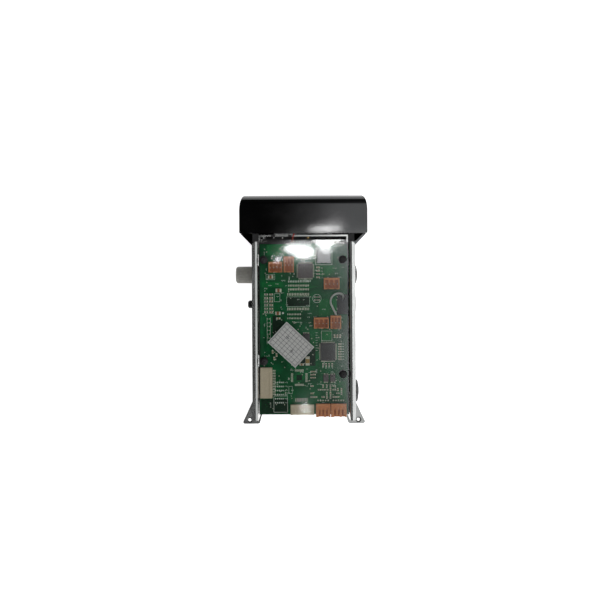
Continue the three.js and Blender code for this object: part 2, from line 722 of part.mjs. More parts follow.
function timingBelt() {
  const band = outline(beltOutline(BELT_ROUTE, GAP + BELT.thick));
  band.holes.push(new THREE.Path(beltOutline(BELT_ROUTE, GAP).map(([y, z]) => new THREE.Vector2(y, z))));
  return prismX(band, BELT.outer, BELT.inner);
}

/** Motor can, with the boss that locates it in the side frame. */
function driveMotor() {
  const { y, z, radius } = MOTOR;
  const can = turnedX(
    [
      [-37.2, 0],
      [-37.2, 4.9],
      [-35.4, 4.9],
      [-35.4, radius - 0.8],
      [-34.6, radius],
      [0.4, radius],
      [1.6, radius - 1.2],
      [1.6, 4],
      [3.4, 4],
      [3.4, 0],
    ],
    y,
    z,
  );
  const terminals = [-4, 4].map((dy) => block([1, 5.2], [y + dy - 1.2, y + dy + 1.2], [z - 7.4, z - 6.8]));
  return cut(joined(can, ...terminals), rodX(-38, -30, y, z, 1.7, 16));
}

/** Motor pinion pulley on its shaft. */
function motorPulley() {
  const { y, z, seat, flange } = MOTOR;
  return turnedX(
    [
      [-42.6, 0],
      [-42.6, 2.6],
      [BELT.outer - 0.5, 2.6],
      [BELT.outer - 0.5, flange],
      [BELT.outer - 0.1, flange],
      [BELT.outer - 0.1, seat],
      [BELT.inner + 0.1, seat],
      [BELT.inner + 0.1, flange],
      [BELT.inner + 0.6, flange],
      [BELT.inner + 0.6, 1.3],
      [-31, 1.3],
      [-31, 0],
    ],
    y,
    z,
    ROUND,
  );
}

/** Where the tensioner's roller stands: just below the slack run, between the front and motor pulleys. */
function tensionerSeat() {
  const [motor, , front] = BELT_ROUTE.map(([y, z, radius]) => ({ y, z, radius: radius + GAP + BELT.thick }));
  const lean = Math.atan2(motor.z - front.z, motor.y - front.y);
  const centres = Math.hypot(motor.y - front.y, motor.z - front.z);
  const out = lean - Math.acos((front.radius - motor.radius) / centres);
  const share = 0.42;
  const away = (radius) => radius + TENSIONER.radius + GAP;
  const along = front.radius + (motor.radius - front.radius) * share;
  return [
    front.y + (motor.y - front.y) * share + away(along) * Math.cos(out),
    front.z + (motor.z - front.z) * share + away(along) * Math.sin(out),
  ];
}

const [SEAT_Y, SEAT_Z] = tensionerSeat();

/** Tensioner arm flat on the belt side frame, with its pivot pin and the roller's pin. */
function tensionerArm() {
  const plate = prismX(slotShape([SEAT_Y, SEAT_Z], TENSIONER.pivot, 3.2), -38.4, -37.4);
  const pivotPin = rodX(-40, -33.8, ...TENSIONER.pivot, 1.3, 16);
  return joined(plate, pivotPin, rodX(-42, -38, SEAT_Y, SEAT_Z, 1.4, 16));
}

function tensionerRoller() {
  return cut(
    rodX(-41.6, -38.8, SEAT_Y, SEAT_Z, TENSIONER.radius),
    rodX(-43, -38, SEAT_Y, SEAT_Z, 1.75, 16),
  );
}

const ENCODER = { x0: 31.6, x1: 32.4, radius: 10.6, slots: 16 };

/** Slotted timing disc on the rear shaft. */
function encoderDisc() {
  const { y } = STATIONS.rear;
  const slots = Array.from({ length: ENCODER.slots }, (_, i) =>
    block([ENCODER.x0 - 1, ENCODER.x1 + 1], [-0.55, 0.55], [7.4, 9.6])
      .rotate([(360 * i) / ENCODER.slots, 0, 0])
      .translate([0, y, SHAFT_Z]),
  );
  const hub = rodX(ENCODER.x0 - 1.7, ENCODER.x0 + 0.4, y, SHAFT_Z, 4.4);
  return cut(
    joined(rodX(ENCODER.x0, ENCODER.x1, y, SHAFT_Z, ENCODER.radius, FINE), hub),
    rodX(25, 35, y, SHAFT_Z, BORE_R),
    ...slots,
  );
}

/** Forked light barrier that reads the disc's slots. */
function encoderSensor() {
  const { y } = STATIONS.rear;
  const fork = block([29, 35], [y - 6, y + 6], [11.6, 20.6]);
  const gate = block([ENCODER.x0 - 0.6, ENCODER.x1 + 0.6], [y - 7, y + 7], [14.4, 22]);
  return cut(joined(fork, block([28, 35.2], [y - 9, y + 9], [10, 12])), gate);
}

add("timing_belt", timingBelt(), RUBBER);
add("drive_motor", driveMotor(), BRIGHT_STEEL);
add("motor_pulley", motorPulley(), WHITE_NYLON);
add("tensioner_arm", tensionerArm(), ZINC_STEEL);
add("tensioner_roller", tensionerRoller(), WHITE_NYLON);
add("encoder_disc", encoderDisc(), BLACK_PLASTIC);
add("encoder_sensor", encoderSensor(), BLACK_PLASTIC);

// ---------------------------------------------------------------- magnetic head and chip contacts

/** Magnetic head: a screened can whose crowned face stands just into the path. */
function magneticHead() {
  const { x, y, halfX, halfY, top, bottom } = HEAD;
  const crown = outline([
    [y - halfY, bottom],
    [y + halfY, bottom],
    [y + halfY, top - 1.4],
    ...arc(y, top - 1.4, halfY - 0.6, 1.4, 0, 180, 8),
    [y - halfY, top - 1.4],
  ]);
  const stem = block([x - 4, x + 4], [y - 4, y + 4], [bottom - 1, bottom + 1]);
  return joined(prismX(crown, x - halfX, x + halfX), stem);
}

/** Spring plate that carries the head and lets it float. */
function headSpringPlate() {
  const { x, y, bottom } = HEAD;
  return cut(
    block([x - 9, x + 9], [y - 8.5, y + 8.5], [bottom - 0.9, bottom - 0.3]),
    block([x - 4.4, x + 4.4], [y - 4.4, y + 4.4], [bottom - 3, bottom + 1]),
    prismZ(slotShape([x - 7, y - 5], [x - 7, y + 5], 0.7), 20, 30),
    prismZ(slotShape([x + 7, y - 5], [x + 7, y + 5], 0.7), 20, 30),
  );
}

/** Roller that presses the card on the head, with its own pin ends. */
function headRoller() {
  const { x, y, roller, rollerZ } = HEAD;
  const profile = [
    [x - 9.4, 0],
    [x - 9.4, 1.15],
    [x - 5.6, 1.15],
    [x - 5.6, roller],
    [x + 5.6, roller],
    [x + 5.6, 1.15],
    [x + 9.4, 1.15],
    [x + 9.4, 0],
  ];
  return turnedX(profile, y, rollerZ, FINE);
}

/** Chip contact carriage: slides back and down along slanted slots as the card arrives. */
function contactBlock() {
  const { x, halfX, front, rear, bottom, top, pins } = CONTACT;
  const stop = block([x - 3, x + 3], [rear - 1.6, rear], [33.6, bottom + 1]);
  const relief = [bottom - 1, bottom + 1.6];
  const springSlots = [-5.8, -2.8, 0.2, 3.2].map((left) =>
    block([x + left, x + left + 2.4], [front + 3, rear - 3.4], relief),
  );
  const combSlot = block([x - 5.6, x + 5.6], [front + 3, front + 4.7], relief);
  return joined(
    cut(block([x - halfX, x + halfX], [front, rear], [bottom, top]), ...springSlots, combSlot),
    stop,
    ...pins.map(([y, z]) => rodX(x - halfX - 2.8, x + halfX + 2.8, y, z, 1.3, 16)),
  );
}

/** Contact springs, joined by the comb that is moulded into the carriage. */
function contactSprings() {
  const { x, front, rear, bottom, tip } = CONTACT;
  const low = bottom + 1.3;
  const leaf = outline([
    [front + 4, low],
    [front + 8, tip],
    [front + 8.8, tip],
    [front + 11.6, low - 1],
    [front + 11.6, low - 0.6],
    [front + 8.9, tip + 0.5],
    [front + 8, tip + 0.5],
    [front + 4.2, low + 0.25],
  ]);
  const leaves = [-5.2, -2.2, 0.8, 3.8].map((left) => prismX(leaf, x + left, x + left + 1.2));
  const comb = block([x - 5.2, x + 5.2], [front + 3.3, front + 4.4], [low - 0.5, low + 0.2]);
  return joined(comb, ...leaves);
}

add("magnetic_head", magneticHead(), BRIGHT_STEEL);
add("head_spring_plate", headSpringPlate(), BRIGHT_STEEL);
add("head_roller", headRoller(), RUBBER);
add("contact_block", contactBlock(), BLACK_PLASTIC);
add("contact_springs", contactSprings(), GOLD);

// ---------------------------------------------------------------- control board

/** Place on the board: across from the knob side edge, and back from the front edge. */
const boardX = (across) => BOARD.half - across;
const boardY = (back) => BOARD.front + back;

/** Parts soldered on the board, as [across from, across to, back from, back to, height]. */
const SOLDERED = {
  sensorPlugA: [7, 17.8, 14.3, 22.4, 5.6],
  sensorPlugB: [18.9, 26.9, 10.2, 22.4, 5.6],
  driver: [30.2, 41.8, 15.6, 27, 1.6],
  inductor: [45, 56, 4.4, 15.4, 4.6],
  motorPlug: [50.4, 62.6, 27, 35.8, 5.6],
  memory: [22, 38.6, 41.8, 49, 0.5],
  headPlug: [42.4, 54, 58, 66.6, 5.6],
  coilPlug: [55.4, 63.7, 56.6, 67, 5.6],
  processor: [47.6, 59.2, 78.2, 92, 1.6],
  crystal: [26, 34, 60, 63, 1.2],
};
const CABLE_NOTCH = [60.8, 70, 40, 55.6];

function boardBlock([left, right, front, rear], z0, z1) {
  return block([boardX(right), boardX(left)], [boardY(front), boardY(rear)], [z0, z1]);
}

function mainBoard() {
  const parts = Object.values(SOLDERED).map((place) => {
    const height = place[4];
    return boardBlock(place, BOARD.top - 0.4, BOARD.top + height);
  });
  const holes = RIVETS.map(({ x, y }) => rodZ(x, y, BOARD.bottom - 1, BOARD.top + 1, 1.95, 16));
  const plate = block([-BOARD.half, BOARD.half], [BOARD.front, BOARD.rear], [BOARD.bottom, BOARD.top]);
  const notch = boardBlock(CABLE_NOTCH, BOARD.bottom - 1, BOARD.top + 1);
  return cut(joined(plate, ...parts), ...holes, notch);
}

/** Wire-to-board header at the tail, its mouth open along +Y. */
function tailHeader([left, right, front, rear], height) {
  const z0 = BOARD.top + GAP;
  const z1 = z0 + height;
  const keyways = [0.28, 0.72].map((share) => {
    const middle = left + (right - left) * share;
    return boardBlock([middle - 1, middle + 1, rear - 2.6, rear + 1], z1 - 2, z1 + 1);
  });
  return cut(
    boardBlock([left, right, front, rear], z0, z1),
    boardBlock([left + 1.2, right - 1.2, rear - 5, rear + 1], z0 + 1, z1 - 1),
    ...keyways,
  );
}

/** Wire-to-board header at the knob side edge, its mouth open along +X. */
function edgeHeader([left, right, front, rear], height) {
  const z0 = BOARD.top + GAP;
  const z1 = z0 + height;
  return cut(
    boardBlock([left, right, front, rear], z0, z1),
    boardBlock([left - 1, left + 6.6, front + 1.2, rear - 1.2], z0 + 1, z1 - 1),
    boardBlock([left - 1, left + 2.4, front + 3, front + 5.4], z1 - 2, z1 + 1),
  );
}

/** Nylon rivet: clamps the board on its tab and holds the film up on a post. */
function boardRivet({ x, y }) {
  return turnedZ(
    [
      [52.4, 0],
      [52.4, 1.2],
      [53.4, 1.6],
      [BOARD.top + GAP, 1.6],
      [BOARD.top + GAP, 3.1],
      [BOARD.top + 1.6, 3.1],
      [BOARD.top + 2.2, 2.1],
      [FILM.bottom - GAP, 2.1],
      [FILM.bottom - GAP, 1.5],
      [FILM.top + GAP, 1.5],
      [FILM.top + GAP, 3],
      [FILM.top + 0.9, 2.7],
      [FILM.top + 1.3, 1.6],
      [FILM.top + 1.3, 0],
    ],
    x,
    y,
  );
}

/** Clear film over the board, held by the four rivets. */
function insulatingFilm() {
  return cut(
    block([-FILM.half, FILM.half], [FILM.front, FILM.rear], [FILM.bottom, FILM.top]),
    ...RIVETS.map(({ x, y }) => rodZ(x, y, FILM.bottom - 1, FILM.top + 1, 1.9, 16)),
  );
}

/** Blank inspection label stuck askew on the film. */
function inspectionLabel() {
  const [long, short, lean] = [29.4, 22, 43];
  return block([-long / 2, long / 2], [-short / 2, short / 2], [0, 0.15])
    .rotate([0, 0, -lean])
    .translate([10.2, 27.1, FILM.top + 0.06]);
}

/** Lead from the solenoid's plug, over the board and down through its notch. */
function boardCable() {
  const route = [
    [-25.4, 3.9, 60.6],
    [-24.2, 1.4, 62.2],
    [-22.6, -1.8, 63],
    [-21.2, -5, 63.2],
    [-21.2, -8.2, 63],
    [-23, -11.2, 62.8],
    [-26.6, -12.9, 62.4],
    [-30, -12.4, 60.4],
    [-31.2, -10.4, 57],
    [-31.2, -8.6, 52.8],
  ].map((point) => new THREE.Vector3(...point));
  return solid(
    new THREE.ExtrudeGeometry(wireSection(0.7), {
      steps: 26,
      extrudePath: new THREE.CatmullRomCurve3(route),
      bevelEnabled: false,
    }),
  );
}

add("main_board", mainBoard(), BOARD_GREEN);
add("sensor_header", edgeHeader([0.2, 9.6, 97, 121], 6.2), CREAM_NYLON);
add("host_header", tailHeader([23.8, 42.2, 126.3, 134.4], 5.2), CREAM_NYLON);
add("power_header", tailHeader([43.7, 55, 125.6, 136], 5.6), ORANGE_NYLON);
add("aux_header", tailHeader([55.5, 67.6, 125.6, 136], 5.6), ORANGE_NYLON);
for (const rivet of RIVETS) add(`board_rivet_${rivet.name}`, boardRivet(rivet), BLACK_PLASTIC);
add("insulating_film", insulatingFilm(), CLEAR);
add("inspection_label", inspectionLabel(), LABEL_PAPER);
add("board_cable", boardCable(), GREY_CABLE);

export default reader;
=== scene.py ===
"""Looks of the motorised card reader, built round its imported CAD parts.

Lengths are in millimetres, and MM turns them into metres. Lamps and camera are in metres.
+Z is up, the card goes in along +Y from the nose at -Y, and the feed knob is on +X.
"""

import json
import math
import random

import bmesh
import bpy
from mathutils import Matrix, Quaternion, Vector


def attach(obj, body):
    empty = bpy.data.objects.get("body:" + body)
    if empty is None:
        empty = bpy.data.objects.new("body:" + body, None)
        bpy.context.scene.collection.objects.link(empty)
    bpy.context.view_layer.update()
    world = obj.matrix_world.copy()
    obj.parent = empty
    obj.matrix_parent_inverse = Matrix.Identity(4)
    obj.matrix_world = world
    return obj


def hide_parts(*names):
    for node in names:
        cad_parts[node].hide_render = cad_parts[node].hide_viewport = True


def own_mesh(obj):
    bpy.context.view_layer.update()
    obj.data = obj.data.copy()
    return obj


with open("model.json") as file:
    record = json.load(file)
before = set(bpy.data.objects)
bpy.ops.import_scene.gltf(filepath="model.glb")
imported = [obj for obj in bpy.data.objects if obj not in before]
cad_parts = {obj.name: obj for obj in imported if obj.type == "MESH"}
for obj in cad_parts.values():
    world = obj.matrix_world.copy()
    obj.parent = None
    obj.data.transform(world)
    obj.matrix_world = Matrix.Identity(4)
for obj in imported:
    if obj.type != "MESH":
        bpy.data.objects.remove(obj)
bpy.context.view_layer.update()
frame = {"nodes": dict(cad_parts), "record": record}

MM = 0.001
SHAFT_Z = 26.85  # axis of the driven shafts
STATION_Y = {"front": -28.4, "middle": -4.5, "rear": 66.0}
SHAFT_R = 2.5
ROLLER = {"half": 7, "radius": 7, "bore": 2.75}
BOARD = {"half": 34.5, "front": -52, "rear": 82, "bottom": 56, "top": 57.6}
FILM = {"low_x": -34.9, "front": -54.8, "width": 69.8, "length": 137.4, "top": 65.4}
RIVETS = {
    "front_knob_side": (31.4, -39.4),
    "rear_knob_side": (31.4, 40.1),
    "front_belt_side": (-30.6, -39.4),
    "rear_belt_side": (-30.6, 50.4),
}

# ---------------------------------------------------------------- materials


def material(name, color, rough, metal=0.0, mottle=0.12, grain=900, stretch=(1, 1, 1), scuff=0.12,
             bump=0.05, bump_grain=2500, alpha=1.0, specular=0.5):
    """A surface whose colour, roughness and height all vary by noise, fixed in the row frame."""
    mat = bpy.data.materials.new(name)
    mat.use_nodes = True
    nodes, links = mat.node_tree.nodes, mat.node_tree.links
    shader = nodes["Principled BSDF"]
    shader.inputs["Metallic"].default_value = metal
    shader.inputs["Alpha"].default_value = alpha
    shader.inputs["Specular IOR Level"].default_value = specular
    place = nodes.new("ShaderNodeTexCoord")
    mapping = nodes.new("ShaderNodeMapping")
    mapping.inputs["Scale"].default_value = stretch
    links.new(place.outputs["Object"], mapping.inputs["Vector"])

    def noise(scale, detail=4.0):
        node = nodes.new("ShaderNodeTexNoise")
        node.inputs["Scale"].default_value = scale
        node.inputs["Detail"].default_value = detail
        links.new(mapping.outputs["Vector"], node.inputs["Vector"])
        return node.outputs["Fac"]

    ramp = nodes.new("ShaderNodeValToRGB")
    ramp.color_ramp.elements[0].position = 0.3
    ramp.color_ramp.elements[1].position = 0.7
    ramp.color_ramp.elements[0].color = (*[c * (1 - mottle) for c in color], 1)
    ramp.color_ramp.elements[1].color = (*[min(1, c * (1 + mottle)) for c in color], 1)
    links.new(noise(grain), ramp.inputs["Fac"])
    links.new(ramp.outputs["Color"], shader.inputs["Base Color"])
    span = nodes.new("ShaderNodeMapRange")
    span.inputs["From Min"].default_value = 0.3
    span.inputs["From Max"].default_value = 0.7
    span.inputs["To Min"].default_value = max(0.02, rough - scuff)
    span.inputs["To Max"].default_value = min(1, rough + scuff)
    links.new(noise(grain * 0.35), span.inputs["Value"])
    links.new(span.outputs["Result"], shader.inputs["Roughness"])
    relief = nodes.new("ShaderNodeBump")
    relief.inputs["Strength"].default_value = bump
    relief.inputs["Distance"].default_value = 0.0002
    links.new(noise(bump_grain, 2.0), relief.inputs["Height"])
    links.new(relief.outputs["Normal"], shader.inputs["Normal"])
    return mat


MAT = {
    "zinc_steel": material("zinc_steel", (0.5, 0.5, 0.485), 0.15, 0.95, mottle=0.07, grain=200,
                           stretch=(1, 0.4, 1), scuff=0.03, bump=0.025, bump_grain=1600),
    "base_steel": material("base_steel", (0.3, 0.3, 0.29), 0.2, 0.95, mottle=0.08, grain=200,
                           scuff=0.04, bump=0.025, bump_grain=1600),
    "bright_steel": material("bright_steel", (0.62, 0.62, 0.62), 0.24, 1.0, mottle=0.08,
                             stretch=(0.2, 1, 1), bump=0.05),
    "black_gloss": material("black_gloss", (0.0011, 0.0011, 0.0012), 0.055, mottle=0.3, grain=120,
                            scuff=0.02, bump=0.012, bump_grain=300),
    "black_plastic": material("black_plastic", (0.016, 0.016, 0.016), 0.4, mottle=0.25, bump=0.2,
                              bump_grain=4000, specular=0.35),
    "grey_knob": material("grey_knob", (0.37, 0.36, 0.325), 0.55, mottle=0.1, grain=700, bump=0.25,
                          bump_grain=5000),
    "rubber": material("rubber", (0.022, 0.022, 0.022), 0.75, mottle=0.3, bump=0.4, bump_grain=3500),
    "white_nylon": material("white_nylon", (0.62, 0.6, 0.54), 0.42, mottle=0.06, bump=0.06),
    "cream_nylon": material("cream_nylon", (0.55, 0.475, 0.33), 0.45, mottle=0.08, bump=0.08),
    # a darker orange for the floors inside the orange housings: painted shade in their hollows
    "orange_painted_shade": material("orange_painted_shade", (0.4, 0.13, 0.04), 0.6, mottle=0.15, grain=600, bump=0.1),
    "orange_nylon": material("orange_nylon", (0.6, 0.23, 0.08), 0.45, mottle=0.15, grain=600, bump=0.1),
    "board_green": material("board_green", (0.004, 0.098, 0.03), 0.3, mottle=0.45, grain=90,
                            specular=0.08, scuff=0.06, bump=0.06, bump_grain=1200),
    "clear_film": material("clear_film", (0.47, 0.48, 0.48), 0.05, 1.0, mottle=0.03, grain=60,
                           scuff=0.003, bump=0.0005, bump_grain=60, alpha=0.14),
    "label_paper": material("label_paper", (0.5, 0.5, 0.475), 0.6, mottle=0.06, grain=300, bump=0.05),
    "gold": material("gold", (0.75, 0.52, 0.2), 0.28, 1.0, mottle=0.08, bump=0.05),
    "lamp": material("lamp", (0.34, 0.5, 0.4), 0.3, mottle=0.05, alpha=0.85, bump=0.05),
    "grey_cable": material("grey_cable", (0.42, 0.44, 0.4), 0.42, mottle=0.08, bump=0.06),
    "copper_green": material("copper_green", (0.005, 0.15, 0.036), 0.3, mottle=0.2, grain=150,
                             scuff=0.06, bump=0.04, specular=0.08),
    "mask_dark": material("mask_dark", (0.004, 0.026, 0.01), 0.32, mottle=0.3, grain=150,
                          bump=0.04, specular=0.1),
    "silk": material("silk", (0.62, 0.7, 0.6), 0.6, mottle=0.12, grain=900, bump=0.03),
    "tin": material("tin", (0.6, 0.6, 0.48), 0.4, 0.3, mottle=0.15, bump=0.2),
    "chip": material("chip", (0.1, 0.088, 0.084), 0.5, mottle=0.15, bump=0.2, bump_grain=5000),
    "chip_grey": material("chip_grey", (0.042, 0.042, 0.04), 0.5, mottle=0.12, bump=0.2,
                          bump_grain=5000),
    "ferrite": material("ferrite", (0.62, 0.62, 0.62), 0.5, mottle=0.15, bump=0.3),
    "tan": material("tan", (0.27, 0.15, 0.06), 0.45, mottle=0.12, bump=0.06),
    "tantalum": material("tantalum", (0.24, 0.09, 0.02), 0.4, mottle=0.12, bump=0.06),
    "ink": material("ink", (0.07, 0.07, 0.075), 0.6, mottle=0.1, bump=0.02),
    "coil_tape": material("coil_tape", (0.3, 0.2, 0.05), 0.4, mottle=0.12, bump=0.06),
    "red_wire": material("red_wire", (0.35, 0.02, 0.015), 0.4, mottle=0.1, bump=0.04),
}

for sub in frame["record"]["subparts"]:
    node = frame["nodes"][sub["node"]]
    finish = "base_steel" if sub["node"] == "base_plate" else sub["material_slot"]
    node.data.materials.clear()
    node.data.materials.append(MAT[finish])

# ---------------------------------------------------------------- building pieces


def piece(name, mesh, body, nodes=(), crease=35):
    """Shows a mesh that is in place, riding on a CAD body and standing for some of its nodes."""
    for polygon in mesh.polygons:
        polygon.use_smooth = True
    mesh.set_sharp_from_angle(angle=math.radians(crease))
    obj = bpy.data.objects.new(name, mesh)
    bpy.context.scene.collection.objects.link(obj)
    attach(obj, body)
    if nodes:
        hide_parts(*nodes)
    return obj


def mesh_of(name, verts, faces, slot):
    """A mesh in metres from points in millimetres, with one finish."""
    mesh = bpy.data.meshes.new(name)
    mesh.from_pydata([[c * MM for c in v] for v in verts], [], faces)
    mesh.materials.append(MAT[slot])
    shape = bmesh.new()
    shape.from_mesh(mesh)
    bmesh.ops.remove_doubles(shape, verts=shape.verts, dist=1e-7)
    bmesh.ops.recalc_face_normals(shape, faces=shape.faces)
    shape.to_mesh(mesh)
    shape.free()
    return mesh


def lathe_x(profile, y, z, segments):
    """Points and faces of a piece turned about an axis along X; profile lists (x, radius)."""
    verts, faces = [], []
    for x, radius in profile:
        for k in range(segments):
            a = 2 * math.pi * k / segments
            verts.append((x, y + radius * math.cos(a), z + radius * math.sin(a)))
    for row in range(len(profile) - 1):
        for k in range(segments):
            a, b = row * segments + k, row * segments + (k + 1) % segments
            faces.append((a, b, b + segments, a + segments))
    return verts, faces


def lathe_z(profile, x, y, segments):
    """The same about an axis along Z; profile lists (z, radius)."""
    verts, faces = lathe_x(profile, 0, 0, segments)
    return [(x + b, y + c, a) for a, b, c in verts], faces


def prism(outline, low, high, axis):
    """Points and faces of a closed outline swept from low to high along x or z.

    Its points are (y, z) for x, and (x, y) for z.
    """
    count = len(outline)
    verts = [(h, a, b) if axis == "x" else (a, b, h) for h in (low, high) for a, b in outline]
    faces = [(k, (k + 1) % count, (k + 1) % count + count, k + count) for k in range(count)]
    return verts, faces + [tuple(range(count)), tuple(range(count, 2 * count))]


def box(x, y, z):
    """Points and faces of a box between limits."""
    return prism([(x[0], y[0]), (x[1], y[0]), (x[1], y[1]), (x[0], y[1])], z[0], z[1], "z")


def arc(a, b, ra, rb, start, stop, steps):
    """Points of an arc about (a, b), between two angles in degrees."""
    turns = [math.radians(start + (stop - start) * i / steps) for i in range(steps + 1)]
    return [(a + ra * math.cos(t), b + rb * math.sin(t)) for t in turns]


def tube(points, radius, sides=12):
    """Points and faces of a round lead that follows some points."""
    line = [Vector(p) for p in points]
    verts, faces = [], []
    side = Vector((0, 0, 1))
    for i, p in enumerate(line):
        ahead = (line[min(i + 1, len(line) - 1)] - line[max(i - 1, 0)]).normalized()
        side = (side - ahead * side.dot(ahead)).normalized()
        up = ahead.cross(side)
        for k in range(sides):
            a = 2 * math.pi * k / sides
            verts.append(tuple(p + side * math.cos(a) * radius + up * math.sin(a) * radius))
    for i in range(len(line) - 1):
        for k in range(sides):
            a, b = i * sides + k, i * sides + (k + 1) % sides
            faces.append((a, b, b + sides, a + sides))
    last = (len(line) - 1) * sides
    return verts, faces + [tuple(range(sides)), tuple(range(last, last + sides))]


def spline(points, per=8):
    """A smooth line through some points."""
    line = [Vector(p) for p in points]
    line = [2 * line[0] - line[1], *line, 2 * line[-1] - line[-2]]
    out = []
    for p0, p1, p2, p3 in zip(line, line[1:], line[2:], line[3:]):
        for k in range(per):
            t = k / per
            out.append(0.5 * (2 * p1 + (p2 - p0) * t + (2 * p0 - 5 * p1 + 4 * p2 - p3) * t * t
                              + (3 * p1 - p0 - 3 * p2 + p3) * t ** 3))
    return [*out, line[-2]]


class Kit:
    """Gathers many small solids, each with its own finish, into one mesh."""

    def __init__(self):
        self.verts, self.faces, self.marks, self.slots = [], [], [], []

    def add(self, made, slot):
        """Takes in a solid given as points and faces."""
        verts, faces = made
        if slot not in self.slots:
            self.slots.append(slot)
        start = len(self.verts)
        self.verts += verts
        self.faces += [tuple(start + i for i in face) for face in faces]
        self.marks += [self.slots.index(slot)] * len(faces)

    def block(self, x, y, z, slot, chamfer=0.0, turn=0.0):
        """Box between sorted limits, its top edges chamfered, turned about its own middle."""
        (x0, x1), (y0, y1), (z0, z1) = sorted(x), sorted(y), sorted(z)
        rings = [(0, z0), (0, z1 - chamfer), (chamfer, z1)] if chamfer else [(0, z0), (0, z1)]
        verts, faces = [], [(0, 1, 2, 3)]
        cx, cy, lean = (x0 + x1) / 2, (y0 + y1) / 2, math.radians(turn)
        for inset, z_at in rings:
            left, right, near, far = x0 + inset, x1 - inset, y0 + inset, y1 - inset
            for px, py in ((left, near), (right, near), (right, far), (left, far)):
                dx, dy = px - cx, py - cy
                verts.append((cx + dx * math.cos(lean) - dy * math.sin(lean),
                              cy + dx * math.sin(lean) + dy * math.cos(lean), z_at))
        for ring in range(len(rings) - 1):
            for k in range(4):
                a, b = ring * 4 + k, ring * 4 + (k + 1) % 4
                faces.append((a, b, b + 4, a + 4))
        top = 4 * (len(rings) - 1)
        self.add((verts, [*faces, (top, top + 1, top + 2, top + 3)]), slot)

    def post(self, x, y, profile, slot, segments):
        """Round piece turned about an upright axis."""
        self.add(lathe_z(profile, x, y, segments), slot)

    def build(self, name, body, nodes=()):
        """Makes what was gathered into one shown piece."""
        mesh = bpy.data.meshes.new(name)
        mesh.from_pydata([[c * MM for c in v] for v in self.verts], [], self.faces)
        for used in self.slots:
            mesh.materials.append(MAT[used])
        mesh.polygons.foreach_set("material_index", self.marks)
        shape = bmesh.new()
        shape.from_mesh(mesh)
        bmesh.ops.recalc_face_normals(shape, faces=shape.faces)
        shape.to_mesh(mesh)
        shape.free()
        return piece(name, mesh, body, nodes)


def carved(name, made, slot, cuts=(), kept=None, bevel=0.0):
    """A solid kept inside another, its edges rounded, with others cut from it by exact booleans."""
    def helper(part):
        obj = bpy.data.objects.new("helper", mesh_of("helper", *part, slot))
        bpy.context.scene.collection.objects.link(obj)
        return obj

    obj = helper(made)
    helpers = []

    def boolean(part, operation):
        helpers.append(helper(part))
        mod = obj.modifiers.new("cut", "BOOLEAN")
        mod.operation, mod.solver, mod.object = operation, "EXACT", helpers[-1]

    if kept:
        boolean(kept, "INTERSECT")
    for part in cuts:
        boolean(part, "DIFFERENCE")
    if bevel:
        mod = obj.modifiers.new("edges", "BEVEL")
        mod.width, mod.segments = bevel * MM, 3
        mod.limit_method, mod.angle_limit = "ANGLE", math.radians(40)
    mesh = bpy.data.meshes.new_from_object(obj.evaluated_get(bpy.context.evaluated_depsgraph_get()))
    for used in [obj, *helpers]:
        bpy.data.objects.remove(used)
    mesh.name = name
    return mesh


# ---------------------------------------------------------------- nose


NOSE = {"half": 50, "rear_half": 40.8, "front": -90.4, "rear": -51, "top": 67, "bottom": 3}
NOSE_TAPER_Y = -60.6  # from here back the nose's sides close in towards the frames
NOSE_CURVE = {"across": 5, "deep": 7.6, "tall": 13}
WALL = 2.2


def nose_parts(inset):
    """The swept plan and the swept side profile whose overlap is the form."""
    half, front = NOSE["half"] - inset, NOSE["front"] + inset
    top, bottom = NOSE["top"] - inset, NOSE["bottom"] + inset
    rear_half, rear = NOSE["rear_half"] - inset, NOSE["rear"] + 6 if inset else NOSE["rear"]
    across, deep, tall = NOSE_CURVE.values()
    side = [*arc(half - across, front + tall, across, tall, 270, 360, 20), (half, NOSE_TAPER_Y),
            (rear_half, NOSE_TAPER_Y + half - rear_half if inset else rear)]
    if inset:
        side.append((rear_half, rear))
    plan = side + [(-x, y) for x, y in reversed(side)]
    profile = [*arc(front + deep, bottom + tall, deep, tall, 270, 180, 28),
               *arc(front + deep, top - tall, deep, tall, 180, 90, 28), (rear, top), (rear, bottom)]
    return prism(plan, 0, 70, "z"), prism(profile, -52, 52, "x")


def solid_nose(inset, bevel=0.0):
    """Points and faces of the nose's solid form, or of the hollow in it for an inset."""
    plan, profile = nose_parts(inset)
    mesh = carved("form", plan, "black_gloss", kept=profile, bevel=bevel)
    return [tuple(c / MM for c in v.co) for v in mesh.vertices], [tuple(p.vertices) for p in mesh.polygons]


nose = carved(
    "front_bezel", solid_nose(0, 0.9), "black_gloss",
    cuts=[solid_nose(WALL),
          box((-60, 60), (-59.8, -40), (58, 70)),  # open above the board
          box((-37.3, 37.3), (-59.8, -40), (0, 12)),  # room for the base plate
          box((-32.3, 32.3), (-95, -80), (27.5, 40.5)),  # slot
          box((-17.3, 17.3), (-95, -84), (44.9, 47.9))],  # slot light
)
nose_shell = piece("front_bezel_shell", nose, "chassis", ["front_bezel"], crease=12)

ribs = Kit()
for side in (-1, 1):
    ribs.block((side * 35.0, side * 39.8), (-59.7, -53.6), (62.7, 64.6), "black_plastic")
ribs.build("front_bezel_ribs", "chassis")

# ---------------------------------------------------------------- knob, pulleys, shafts and rollers


